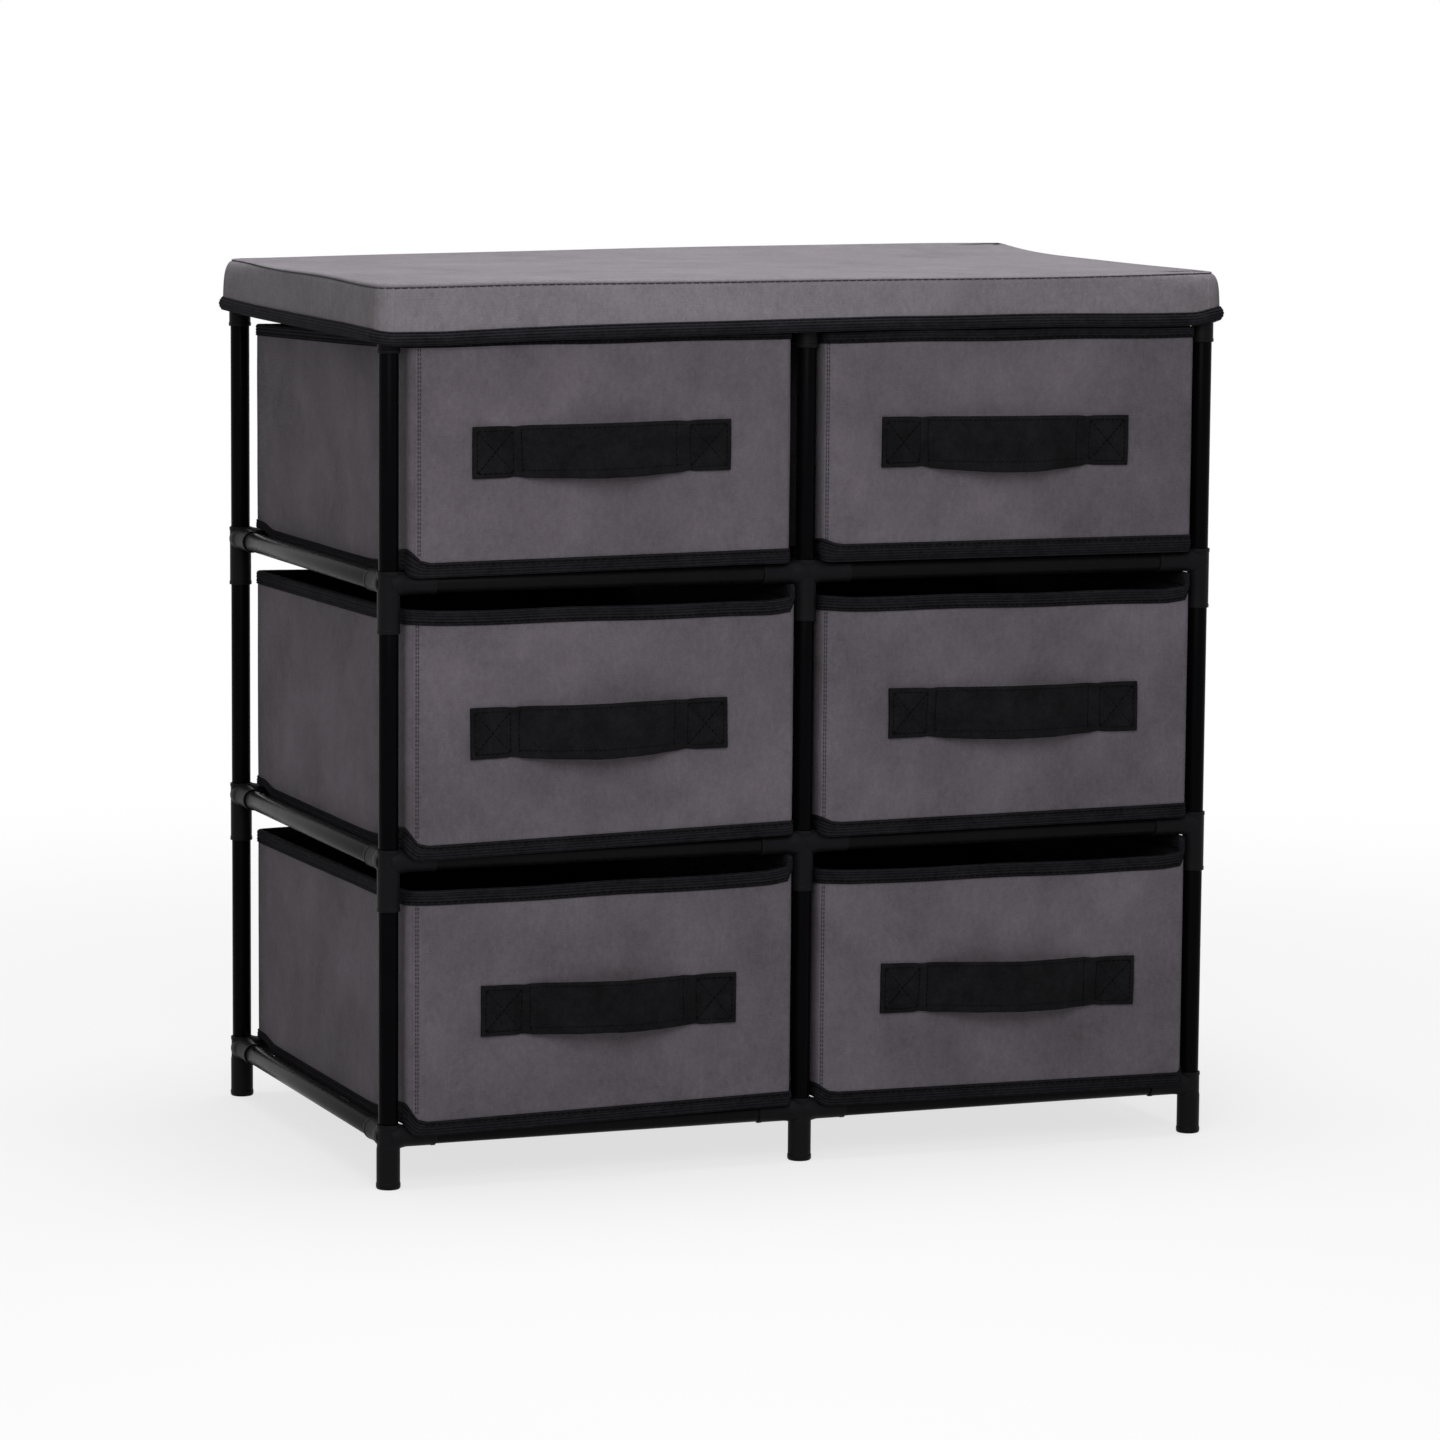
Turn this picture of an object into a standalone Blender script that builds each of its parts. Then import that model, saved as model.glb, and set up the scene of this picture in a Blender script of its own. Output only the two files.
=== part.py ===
"""Drawer cabinet: a push-fit tube frame, six fabric drawers and a padded lift-off lid.

Metres, +Z up. The floor is z = 0, the drawers face -Y, and x = y = 0 is the middle
of the cabinet's outline. The lowest rails lie at level 1 and the highest at level 4.
"""
import math

import bmesh
import bpy
from mathutils import Matrix

# Frame
POST_SPACING_X = 0.529
POST_SPACING_Y = 0.310
LEVEL_PITCH = 0.1655
FOOT_HEIGHT = 0.0315
DRAWER_ROWS = ("bottom", "middle", "top")

# Tubes, and the plastic connectors that hold them
TUBE_RADIUS = 0.0060
TUBE_WALL = 0.0007
BARREL_RADIUS = 0.0071
BARREL_RISE = 0.0076
BARREL_DROP = 0.0295
ARM_RADIUS = 0.0069
ARM_REACH = 0.0285
SOCKET_DEPTH = 0.0200
FOOT_ROUNDING = 0.0015
ROUND_SIDES = 12

# Gaps between pieces
FIT_GAP = 0.0003
LID_PLAY = 0.0012
LID_TO_DRAWER = 0.0005
DRAWER_SIDE_GAP = 0.0024
DRAWER_HEADROOM = 0.0126

# Drawers
DRAWER_FRONT_STEP = 0.0016
DRAWER_REAR_SEAT = 0.0030
DRAWER_WALL = 0.0022
DRAWER_CORNER = 0.0100
BASE_BOARD = 0.0025
CORNER_SEGMENTS = 3

# Binding tape and hems
TAPE = 0.0007
TOP_TAPE_HEIGHT = 0.0083
HEM_SEAM = 0.0008
DRAWER_HEM_HEIGHT = 0.0053
DRAWER_HEM_LIP = 0.0047
LID_HEM_HEIGHT = 0.0080

# Strap handles
STRAP_LENGTH = 0.1650
STRAP_WIDTH = 0.0300
STRAP_THICKNESS = 0.0018
STRAP_PATCH = 0.0280
STRAP_BOW = 0.0150
STRAP_DROP = 0.0011
STRAP_SEGMENTS = 10

# Lid
LID_FABRIC = 0.0012
LID_CORNER = 0.0085
LID_BOARD = 0.0033
LID_CROWN = 0.0016
CROWN_TURN = math.radians(60)
CROWN_STEPS = 4

# Places and sizes that follow from the ones above
ARM_INNER = ARM_REACH - SOCKET_DEPTH
SOCKET_RADIUS = TUBE_RADIUS + FIT_GAP
TUBE_START = ARM_INNER + FIT_GAP
DRAWER_WIDTH = POST_SPACING_X / 2 - 2 * (BARREL_RADIUS + DRAWER_SIDE_GAP)
DRAWER_FRONT = ARM_RADIUS + DRAWER_FRONT_STEP
DRAWER_DEPTH = POST_SPACING_Y + DRAWER_FRONT - ARM_RADIUS + DRAWER_REAR_SEAT
DRAWER_FLOOR = ARM_RADIUS + FIT_GAP
DRAWER_TOP = LEVEL_PITCH - ARM_RADIUS - DRAWER_HEADROOM
STRAP_MIDDLE = (DRAWER_FLOOR + DRAWER_TOP) / 2 - STRAP_DROP
LID_OVERHANG = BARREL_RADIUS + LID_PLAY + LID_FABRIC
LID_HALF_X = POST_SPACING_X / 2 + LID_OVERHANG
LID_HALF_Y = POST_SPACING_Y / 2 + LID_OVERHANG
FRONT_EXTENT = POST_SPACING_Y / 2 + DRAWER_FRONT + FIT_GAP + STRAP_BOW + STRAP_THICKNESS
REAR_EXTENT = LID_HALF_Y + TAPE
FRAME_Y = (FRONT_EXTENT - REAR_EXTENT) / 2

LEVEL_Z = [FOOT_HEIGHT + LEVEL_PITCH * level for level in range(len(DRAWER_ROWS) + 1)]
COLUMN_X = {"left": -POST_SPACING_X / 2, "middle": 0.0, "right": POST_SPACING_X / 2}
ROW_Y = {"front": FRAME_Y - POST_SPACING_Y / 2, "rear": FRAME_Y + POST_SPACING_Y / 2}
BAY_X = {"left": -POST_SPACING_X / 4, "right": POST_SPACING_X / 4}
LID_SEAT_Z = LEVEL_Z[-1] + BARREL_RISE + FIT_GAP
LID_HEM_Z = LEVEL_Z[-2] + DRAWER_TOP + LID_TO_DRAWER

# Which ways a connector's arms point, for each column and each row of posts
RAIL_ARMS = {"left": (1,), "middle": (-1, 1), "right": (-1,)}
SIDE_ARM = {"front": 1, "rear": -1}

# Turns that lay a tube drawn along Z along X or along Y
ALONG_X = (0.0, math.pi / 2, 0.0)
ALONG_Y = (-math.pi / 2, 0.0, 0.0)

# Finishes: colour, roughness, metallic
FINISHES = {
    "black_tube": ((0.010, 0.010, 0.012), 0.28, 0.6),
    "black_plastic": ((0.014, 0.014, 0.016), 0.42, 0.0),
    "grey_fabric": ((0.115, 0.105, 0.120), 0.92, 0.0),
    "grey_board": ((0.060, 0.058, 0.062), 0.90, 0.0),
    "black_tape": ((0.016, 0.016, 0.019), 0.80, 0.0),
    "black_webbing": ((0.013, 0.013, 0.015), 0.75, 0.0),
    "padded_board": ((0.300, 0.240, 0.170), 0.85, 0.0),
}


def clear_scene():
    for thing in list(bpy.data.objects):
        bpy.data.objects.remove(thing, do_unlink=True)


def new_collection(name):
    collection = bpy.data.collections.new(name)
    bpy.context.scene.collection.children.link(collection)
    return collection


def make_material(name):
    colour, roughness, metallic = FINISHES[name]
    material = bpy.data.materials.new(name)
    material.use_nodes = True
    shader = material.node_tree.nodes["Principled BSDF"]
    shader.inputs["Base Color"].default_value = (*colour, 1.0)
    shader.inputs["Roughness"].default_value = roughness
    shader.inputs["Metallic"].default_value = metallic
    return material


clear_scene()
PARTS = new_collection("drawer_cabinet")
CUTTERS = new_collection("cutters")
MATERIALS = {name: make_material(name) for name in FINISHES}


def mesh_from(name, bm, finish=None):
    mesh = bpy.data.meshes.new(name)
    bm.to_mesh(mesh)
    bm.free()
    if finish:
        mesh.materials.append(MATERIALS[finish])
    return mesh


def place_piece(name, mesh, parent=None, place=(0.0, 0.0, 0.0), turn=(0.0, 0.0, 0.0)):
    piece = bpy.data.objects.new(name, mesh)
    piece.parent = parent
    piece.location = place
    piece.rotation_euler = turn
    PARTS.objects.link(piece)
    return piece


def place_helper(name, mesh, parent):
    """Places a body that is joined to its parent, or cut out of it."""
    helper = bpy.data.objects.new(name, mesh)
    helper.parent = parent
    helper.hide_render = True
    helper.display_type = "WIRE"
    CUTTERS.objects.link(helper)
    return helper


def place_empty(name, place):
    empty = bpy.data.objects.new(name, None)
    empty.location = place
    PARTS.objects.link(empty)
    return empty


def combine(piece, helper, operation):
    modifier = piece.modifiers.new(helper.name, "BOOLEAN")
    modifier.solver = "EXACT"
    modifier.operation = operation
    modifier.object = helper


def thicken(piece, thickness, offset):
    """Gives an open surface its thickness, inward with offset -1 and outward with 1."""
    modifier = piece.modifiers.new("thickness", "SOLIDIFY")
    modifier.thickness = thickness
    modifier.offset = offset
    modifier.use_even_offset = True


def shade_round(mesh):
    mesh.shade_smooth()
    mesh.set_sharp_from_angle(angle=math.radians(40))


def add_cylinder(bm, start, end, radius, turn=(0.0, 0.0, 0.0), capped=True):
    """Adds a cylinder from start to end along Z, turned about the local origin."""
    spin = Matrix.Rotation(turn[0], 4, "X") @ Matrix.Rotation(turn[1], 4, "Y")
    place = spin @ Matrix.Translation((0.0, 0.0, (start + end) / 2))
    return bmesh.ops.create_cone(
        bm, cap_ends=capped, segments=ROUND_SIDES, radius1=radius, radius2=radius,
        depth=end - start, matrix=place)


def add_arm(bm, start, end, radius, turn, height):
    """Adds a level cylinder at a height above the local origin."""
    made = add_cylinder(bm, start, end, radius, turn)
    bmesh.ops.translate(bm, verts=made["verts"], vec=(0.0, 0.0, height))


def add_rounded_box(bm, half_x, half_y, low, high, corner):
    """Adds a box about the local Z axis, its upright edges rounded."""
    size = Matrix.Diagonal((2 * half_x, 2 * half_y, high - low, 1.0))
    place = Matrix.Translation((0.0, 0.0, (low + high) / 2)) @ size
    made = bmesh.ops.create_cube(bm, size=1.0, matrix=place)
    upright = {
        edge for vert in made["verts"] for edge in vert.link_edges
        if abs(edge.verts[0].co.z - edge.verts[1].co.z) > (high - low) / 2}
    bmesh.ops.bevel(
        bm, geom=list(upright), offset=corner, offset_type="OFFSET",
        segments=CORNER_SEGMENTS, profile=0.5, affect="EDGES")


def level_faces(bm, facing):
    """Finds the faces that look straight up (facing 1) or straight down (-1)."""
    bm.normal_update()
    return [face for face in bm.faces if face.normal.z * facing > 0.9]


def rounded_sleeve(half_x, half_y, low, high, corner):
    """Makes the upright walls of a rounded box, open above and below."""
    bm = bmesh.new()
    add_rounded_box(bm, half_x, half_y, low, high, corner)
    ends = level_faces(bm, 1) + level_faces(bm, -1)
    bmesh.ops.delete(bm, geom=ends, context="FACES_ONLY")
    return bm


def rim_edges(bm, z):
    return [edge for edge in bm.edges if all(abs(v.co.z - z) < 1e-6 for v in edge.verts)]


def make_posts():
    """Makes each post: its tubes and four connectors, with sockets for the level tubes."""
    tube = bmesh.new()
    add_cylinder(tube, LEVEL_Z[0], LEVEL_Z[-1], TUBE_RADIUS)
    tube_mesh = mesh_from("post_tube", tube, "black_plastic")
    shade_round(tube_mesh)
    barrel_mesh = mesh_from("post_barrels", barrels())
    for row, y in ROW_Y.items():
        for column, x in COLUMN_X.items():
            name = f"post_{row}_{column}"
            post = place_piece(name, tube_mesh, place=(x, y, 0.0))
            combine(post, place_helper(f"{name}_barrels", barrel_mesh, post), "UNION")
            for kind, ways, turn in (
                    ("rail_arms", RAIL_ARMS[column], ALONG_X),
                    ("side_arms", (SIDE_ARM[row],), ALONG_Y)):
                arms = mesh_from(f"{name}_{kind}", arm_bodies(ways, turn))
                combine(post, place_helper(f"{name}_{kind}", arms, post), "UNION")
            bores = mesh_from(f"{name}_sockets", socket_bodies(RAIL_ARMS[column], SIDE_ARM[row]))
            combine(post, place_helper(f"{name}_sockets", bores, post), "DIFFERENCE")


def barrels():
    """Makes the upright bodies of a post's connectors, the lowest one as its foot."""
    bm = bmesh.new()
    foot = add_cylinder(bm, 0.0, LEVEL_Z[0] + BARREL_RISE, BARREL_RADIUS)
    rim = {
        edge for vert in foot["verts"] for edge in vert.link_edges
        if all(end.co.z < FOOT_ROUNDING / 2 for end in edge.verts)}
    bmesh.ops.bevel(
        bm, geom=list(rim), offset=FOOT_ROUNDING, offset_type="OFFSET", segments=2,
        profile=0.5, affect="EDGES")
    for z in LEVEL_Z[1:]:
        add_cylinder(bm, z - BARREL_DROP, z + BARREL_RISE, BARREL_RADIUS)
    return bm


def arm_bodies(ways, turn):
    """Makes the arms that point the given ways along one axis, at every level."""
    bm = bmesh.new()
    start = min(0, *ways) * ARM_REACH
    end = max(0, *ways) * ARM_REACH
    for z in LEVEL_Z:
        add_arm(bm, start, end, ARM_RADIUS, turn, z)
    return bm


def socket_bodies(rail_ways, side_way):
    """Makes the bores that the level tubes push into, a little past each arm's end."""
    bm = bmesh.new()
    ways = [(way, ALONG_X) for way in rail_ways] + [(side_way, ALONG_Y)]
    for z in LEVEL_Z:
        for way, turn in ways:
            near = way * ARM_INNER
            far = way * (ARM_REACH + FIT_GAP)
            add_arm(bm, min(near, far), max(near, far), SOCKET_RADIUS, turn, z)
    return bm


def tube_mesh_of(name, length):
    """Makes the skin of a tube that starts at the origin and runs up Z."""
    bm = bmesh.new()
    add_cylinder(bm, 0.0, length, TUBE_RADIUS, capped=False)
    mesh = mesh_from(name, bm, "black_tube")
    shade_round(mesh)
    return mesh


def make_level_tubes():
    rail = tube_mesh_of("rail", POST_SPACING_X / 2 - 2 * TUBE_START)
    side_tube = tube_mesh_of("side_tube", POST_SPACING_Y - 2 * TUBE_START)
    for level, z in enumerate(LEVEL_Z, start=1):
        for row, y in ROW_Y.items():
            for bay, x in BAY_X.items():
                start = (x - POST_SPACING_X / 4 + TUBE_START, y, z)
                name = f"rail_{row}_{bay}_level_{level}"
                thicken(place_piece(name, rail, place=start, turn=ALONG_X), TUBE_WALL, -1)
        for column, x in COLUMN_X.items():
            start = (x, ROW_Y["front"] + TUBE_START, z)
            name = f"side_tube_{column}_level_{level}"
            thicken(place_piece(name, side_tube, place=start, turn=ALONG_Y), TUBE_WALL, -1)


def drawer_shell_mesh():
    """Makes the outside of the open fabric box."""
    bm = bmesh.new()
    wall_top = DRAWER_TOP - TAPE - FIT_GAP
    add_rounded_box(
        bm, DRAWER_WIDTH / 2, DRAWER_DEPTH / 2, DRAWER_FLOOR, wall_top, DRAWER_CORNER)
    bmesh.ops.delete(bm, geom=level_faces(bm, 1), context="FACES_ONLY")
    mesh = mesh_from("drawer_shell", bm, "grey_fabric")
    shade_round(mesh)
    return mesh


def drawer_hem_mesh():
    """Makes the outside of the hem round the floor, with its lip in front of the rail."""
    low = DRAWER_FLOOR + HEM_SEAM
    bm = rounded_sleeve(
        DRAWER_WIDTH / 2 + TAPE, DRAWER_DEPTH / 2 + TAPE, low,
        DRAWER_FLOOR + DRAWER_HEM_HEIGHT, DRAWER_CORNER + TAPE)
    front = min(vert.co.y for vert in bm.verts)
    for vert in bm.verts:
        if vert.co.y < front + TAPE / 2 and vert.co.z < low + TAPE:
            vert.co.z = DRAWER_FLOOR - DRAWER_HEM_LIP
    return mesh_from("drawer_hem", bm)


def drawer_base_board_mesh():
    bm = bmesh.new()
    inset = DRAWER_WALL + FIT_GAP
    low = DRAWER_FLOOR + DRAWER_WALL + FIT_GAP
    add_rounded_box(
        bm, DRAWER_WIDTH / 2 - inset, DRAWER_DEPTH / 2 - inset, low, low + BASE_BOARD,
        DRAWER_CORNER - inset)
    mesh = mesh_from("drawer_base_board", bm, "grey_board")
    shade_round(mesh)
    return mesh


def drawer_top_tape_mesh():
    """Makes the inner face of the tape that is folded over the walls' top edge."""
    low = DRAWER_TOP - TOP_TAPE_HEIGHT
    fold = DRAWER_TOP - TAPE
    inside = DRAWER_WALL + FIT_GAP
    bm = rounded_sleeve(
        DRAWER_WIDTH / 2 - inside, DRAWER_DEPTH / 2 - inside, low, fold,
        DRAWER_CORNER - inside)
    bmesh.ops.reverse_faces(bm, faces=bm.faces)
    outer = rounded_sleeve(
        DRAWER_WIDTH / 2 + FIT_GAP, DRAWER_DEPTH / 2 + FIT_GAP, low, fold,
        DRAWER_CORNER + FIT_GAP)
    outer_leg = mesh_from("drawer_top_tape_outer_leg", outer)
    bm.from_mesh(outer_leg)
    bpy.data.meshes.remove(outer_leg)
    bmesh.ops.bridge_loops(bm, edges=rim_edges(bm, fold))
    bmesh.ops.reverse_faces(bm, faces=level_faces(bm, -1))
    mesh = mesh_from("drawer_top_tape", bm, "black_tape")
    shade_round(mesh)
    return mesh


def strap_stand_off(x):
    """Gives how far the strap's inner face stands off the drawer's front at x."""
    free_half = STRAP_LENGTH / 2 - STRAP_PATCH
    if abs(x) >= free_half:
        return FIT_GAP
    return FIT_GAP + STRAP_BOW * (1 - (x / free_half) ** 2)


def drawer_handle_mesh():
    """Makes the webbing's inner face, flat at its sewn ends and bowed between them."""
    free_half = STRAP_LENGTH / 2 - STRAP_PATCH
    steps = [2 * step / STRAP_SEGMENTS - 1 for step in range(STRAP_SEGMENTS + 1)]
    stations = [-STRAP_LENGTH / 2, *(free_half * step for step in steps), STRAP_LENGTH / 2]
    spans = len(stations) - 1
    bm = bmesh.new()
    bmesh.ops.create_grid(bm, x_segments=spans, y_segments=1, size=0.5)
    for vert in bm.verts:
        x = stations[round((vert.co.x + 0.5) * spans)]
        y = -DRAWER_DEPTH / 2 - strap_stand_off(x)
        vert.co = (x, y, STRAP_MIDDLE + vert.co.y * STRAP_WIDTH)
    mesh = mesh_from("drawer_handle", bm, "black_webbing")
    shade_round(mesh)
    return mesh


def make_drawers():
    shell_mesh = drawer_shell_mesh()
    hem_mesh = drawer_hem_mesh()
    board_mesh = drawer_base_board_mesh()
    tape_mesh = drawer_top_tape_mesh()
    handle_mesh = drawer_handle_mesh()
    middle_y = ROW_Y["front"] - DRAWER_FRONT + DRAWER_DEPTH / 2
    for row, z in zip(DRAWER_ROWS, LEVEL_Z):
        for bay, x in BAY_X.items():
            name = f"drawer_{bay}_{row}"
            slide = place_empty(f"{name}_slide", (x, middle_y, z))
            hem = place_helper(f"{name}_hem", hem_mesh, slide)
            thicken(hem, TAPE + HEM_SEAM, -1)
            shell = place_piece(f"{name}_shell", shell_mesh, slide)
            thicken(shell, DRAWER_WALL, -1)
            combine(shell, hem, "UNION")
            place_piece(f"{name}_base_board", board_mesh, slide)
            thicken(place_piece(f"{name}_top_tape", tape_mesh, slide), TAPE, 1)
            thicken(place_piece(f"{name}_handle", handle_mesh, slide), STRAP_THICKNESS, 1)


def crown(bm):
    """Raises a flat top in rings that follow an ellipse, with a flat middle."""
    half_x = max(vert.co.x for vert in bm.verts)
    half_y = max(vert.co.y for vert in bm.verts)
    base_z = max(vert.co.z for vert in bm.verts)
    top = level_faces(bm, 1)
    outline = [(vert.co.x / half_x, vert.co.y / half_y) for vert in top[0].verts]
    for step in range(1, CROWN_STEPS + 1):
        turn = CROWN_TURN * step / CROWN_STEPS
        rise = LID_CROWN * math.sin(turn) / math.sin(CROWN_TURN)
        top = bmesh.ops.extrude_discrete_faces(bm, faces=top)["faces"]
        for vert, (x, y) in zip(top[0].verts, outline):
            shrink = math.cos(turn)
            vert.co = (x * half_x * shrink, y * half_y * shrink, base_z + rise)


def lid_cover_mesh(hem):
    """Makes the outside of the cover: its crowned top and the skirt down to the hem."""
    bm = bmesh.new()
    top = LID_BOARD + FIT_GAP + LID_FABRIC
    add_rounded_box(bm, LID_HALF_X, LID_HALF_Y, hem + TAPE, top, LID_CORNER)
    bmesh.ops.delete(bm, geom=level_faces(bm, -1), context="FACES_ONLY")
    crown(bm)
    mesh = mesh_from("lid_cover", bm, "grey_fabric")
    shade_round(mesh)
    return mesh


def lid_hem_mesh(hem):
    bm = rounded_sleeve(
        LID_HALF_X + TAPE, LID_HALF_Y + TAPE, hem, hem + LID_HEM_HEIGHT, LID_CORNER + TAPE)
    return mesh_from("lid_hem", bm)


def lid_board_mesh():
    """Makes the stiff board with the thin padding glued on top of it."""
    inset = LID_FABRIC + FIT_GAP
    bm = bmesh.new()
    add_rounded_box(
        bm, LID_HALF_X - inset, LID_HALF_Y - inset, 0.0, LID_BOARD, LID_CORNER - inset)
    crown(bm)
    mesh = mesh_from("lid_padded_board", bm, "padded_board")
    shade_round(mesh)
    return mesh


def make_lid():
    lift = place_empty("lid_lift", (0.0, FRAME_Y, LID_SEAT_Z))
    hem_z = LID_HEM_Z - LID_SEAT_Z
    hem = place_helper("lid_hem", lid_hem_mesh(hem_z), lift)
    thicken(hem, LID_FABRIC + 2 * TAPE, -1)
    cover = place_piece("lid_cover", lid_cover_mesh(hem_z), lift)
    thicken(cover, LID_FABRIC, -1)
    combine(cover, hem, "UNION")
    place_piece("lid_padded_board", lid_board_mesh(), lift)


def main():
    make_posts()
    make_level_tubes()
    make_drawers()
    make_lid()


main()
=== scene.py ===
"""Drawer cabinet: its looks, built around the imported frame.

Metres, +Z up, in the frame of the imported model. Sizes are read from the frame's
nodes where it has them, and named below where only the looks need them.
"""
import math

import bpy
import numpy as np
from mathutils import Matrix, Vector


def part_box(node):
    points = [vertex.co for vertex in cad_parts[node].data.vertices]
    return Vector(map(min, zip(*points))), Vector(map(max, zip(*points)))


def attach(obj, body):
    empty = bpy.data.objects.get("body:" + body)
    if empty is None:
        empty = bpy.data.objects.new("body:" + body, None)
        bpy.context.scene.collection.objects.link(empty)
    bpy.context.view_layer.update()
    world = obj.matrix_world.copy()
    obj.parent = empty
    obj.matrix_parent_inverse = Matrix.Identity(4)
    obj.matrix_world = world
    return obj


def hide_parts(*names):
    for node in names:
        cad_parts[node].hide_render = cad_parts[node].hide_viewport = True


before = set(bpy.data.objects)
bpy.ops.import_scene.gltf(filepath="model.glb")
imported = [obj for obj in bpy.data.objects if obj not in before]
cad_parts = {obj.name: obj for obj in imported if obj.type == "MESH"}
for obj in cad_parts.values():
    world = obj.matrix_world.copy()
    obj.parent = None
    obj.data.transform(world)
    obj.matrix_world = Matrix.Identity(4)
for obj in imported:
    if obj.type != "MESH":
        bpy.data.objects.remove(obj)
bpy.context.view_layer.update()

# Names in the frame
LEVELS = (1, 2, 3, 4)
ROWS = ("front", "rear")
COLUMNS = ("left", "middle", "right")
BAYS = ("left", "right")
DRAWER_ROWS = ("bottom", "middle", "top")

# Meshes
ROUND_SEGMENTS = 40
CORNER_SIGNS = ((-1, 1), (-1, -1), (1, -1), (1, 1))
CORNER_TURNS = 10
OUTLINE_STEP = 0.006
ROUND_SHARE = 0.45
SHARP_ANGLE = 50
GAP = 0.0001
SLAB_RINGS = (0.02, 0.25, 0.5, 0.75, 0.95)

# Tubes and connectors
TUBE_WALL = 0.0007
TUBE_EDGE = 0.0002
BARREL_RADIUS = 0.0068
FOOT_RADIUS = 0.0071
BARREL_RISE = 0.0076
BARREL_DROP = 0.0295
ARM_RADIUS = 0.0066
ARM_REACH = 0.0285
ARM_FLARE = 0.0030
SOCKET_DEPTH = 0.0200
POST_SOCKET = 0.0035
SOCKET_PLAY = 0.0002
RIM_RISE = 0.0003
RIM_WIDTH = 0.0022
PLASTIC_EDGE = 0.0005
PLASTIC_CORE = 0.0004
FOOT_EDGE = 0.0016
FOOT_GROOVE_HEIGHT = 0.0036

# Drawers: layers measured from the walls' outer face, heights from floor, rim or tape
BINDING = 0.0007
CLOTH = 0.0010
WALL = 0.0022
WALL_STEPS = 16
COVERED_EDGE = 0.0012
SOFT_CORNER = 0.0065
FOLDED_CORNER = 0.0034
FLOOR_TO_AXIS = 0.0072
FLOOR_EDGE = 0.0005
BOARD_EDGE = 0.0009
BOARD_PLAY = 0.0004
HEM_TOP = 0.0053
HEM_SIDE_LOW = 0.0003
HEM_SIDE_SAG = 0.0056
HEM_SAG_START = 0.1405
HEM_SAG_RAMP = 0.026
HEM_STITCHES = 0.0022
HEM_RIB = 0.00018
HEM_GROOVE = 0.00045
HEM_RIBS = 4
HEM_LIP = 0.0034
HEM_LIP_FOLD = 0.0010
HEM_CORNER_RISE = {"left": 0.0085, "right": 0.0040}
HEM_CORNER_WIDTH = 0.0080
HEM_CORNER_DEPTH = 0.040
HEM_UNEVEN_DEPTH = 0.05
TOP_BINDING = 0.0083
TOP_BINDING_PITCH = 0.0021
TOP_BINDING_STITCHES = 0.0016
TOP_BINDING_RIB = 0.00016
TOP_BINDING_FOLD = 0.0009
TOP_BINDING_UNEVEN_DEPTH = 0.06
REAR_DROP = {"bottom": 0.0045, "middle": 0.0045, "top": 0.0085}
RIM_WAVE = 0.0003
RIM_WAVE_TURNS = 60
CORNER_RISE_DEPTH = 0.030
LEFT_CORNER_RISE = 0.0010
LEFT_CORNER_WIDTH = 0.012
RIGHT_CORNER_RISE = 0.0024
RIGHT_CORNER_WIDTH = 0.010
RIGHT_WALL_RISE = 0.0112
RIGHT_WALL_PEAK = 0.12
RIGHT_WALL_REACH = 0.34
RIM_ROOM = 0.0127
FRONT_BULGE = 0.0009
SIDE_BULGE = 0.0013
SEAM_INSET = {"left": 0.0036, "right": 0.0006}

# Waves in the bulges of the drawers' cloth: each one's height, turns, and way of its phase.
# The waves of the straps' creases are written the same way
FRONT_WAVES = ((0.35, 5.0, 1), (0.20, 11.0, -1))
SIDE_WAVES = ((0.15, 4.2, 1), (0.08, 9.0, -1))

# Soft dents in the drawers' cloth: each wave's height, length along, length up, and phase
DENTS = (
    (0.00058, 0.083, 0.125, 0.4), (0.00044, -0.057, 0.066, 2.1),
    (0.00028, 0.034, -0.075, 4.0), (0.00018, 0.043, 0.031, 5.2))

# How far the upper left drawer's front corners are drawn in, and over what depth
FRONT_PINCH = {("left", "top"): (0.0012, 0.0036)}
PINCH_DEPTH = 0.090

# How each drawer's tapes hang, as heights above their plain ones at the left and right of
# its front: its rim, its top tape's lower edge, and its hem
DRAWER_TAPES = {
    ("left", "top"): ((0.0, 0.0012), (0.0016, 0.0042), (0.0, 0.0030)),
    ("right", "top"): ((0.0, 0.0), (0.0010, 0.0016), (0.0046, 0.0046)),
    ("left", "middle"): ((0.0033, 0.0033), (0.0033, 0.0033), (-0.0028, 0.0025)),
    ("right", "middle"): ((0.0041, 0.0028), (0.0041, 0.0028), (0.0, 0.0019)),
    ("left", "bottom"): ((0.0016, 0.0039), (0.0016, 0.0039), (-0.0034, 0.0010)),
    ("right", "bottom"): ((0.0018, 0.0006), (0.0018, 0.0006), (-0.0013, -0.0034)),
}

# Straps
STRAP_LENGTH = 0.1640
STRAP_WIDTH = 0.0308
STRAP_THICKNESS = 0.0016
STRAP_REST = 0.00015
STRAP_PATCH = 0.0270
STRAP_BOW = 0.0112
STRAP_CREASE = 0.0013
STRAP_CREASE_WAVES = ((0.6, 210, 1), (0.4, 470, -1))
STRAP_LOW_PART = 0.20
STRAP_TOP_RISE = 0.0006
STRAP_LOW_LIFT = 0.0005
STRAP_PINCH = 0.0006
STRAP_PINCH_WIDTH = 0.004
STRAP_TURNED_END = 0.0090
STRAP_TURNED_RISE = 0.0004
STRAP_SEAMS = {-1: (0.0016, -0.0036), 1: (0.0016, -0.0077)}
STRAP_PITCH = 0.0030
STRAP_THREAD = 0.00036
STRAP_GROOVE = 0.0006
STRAP_GROOVE_WIDTH = 0.0009
STRAP_END_SEAM = 0.0026
STRAP_BOX = (0.09, 0.91)
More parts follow.
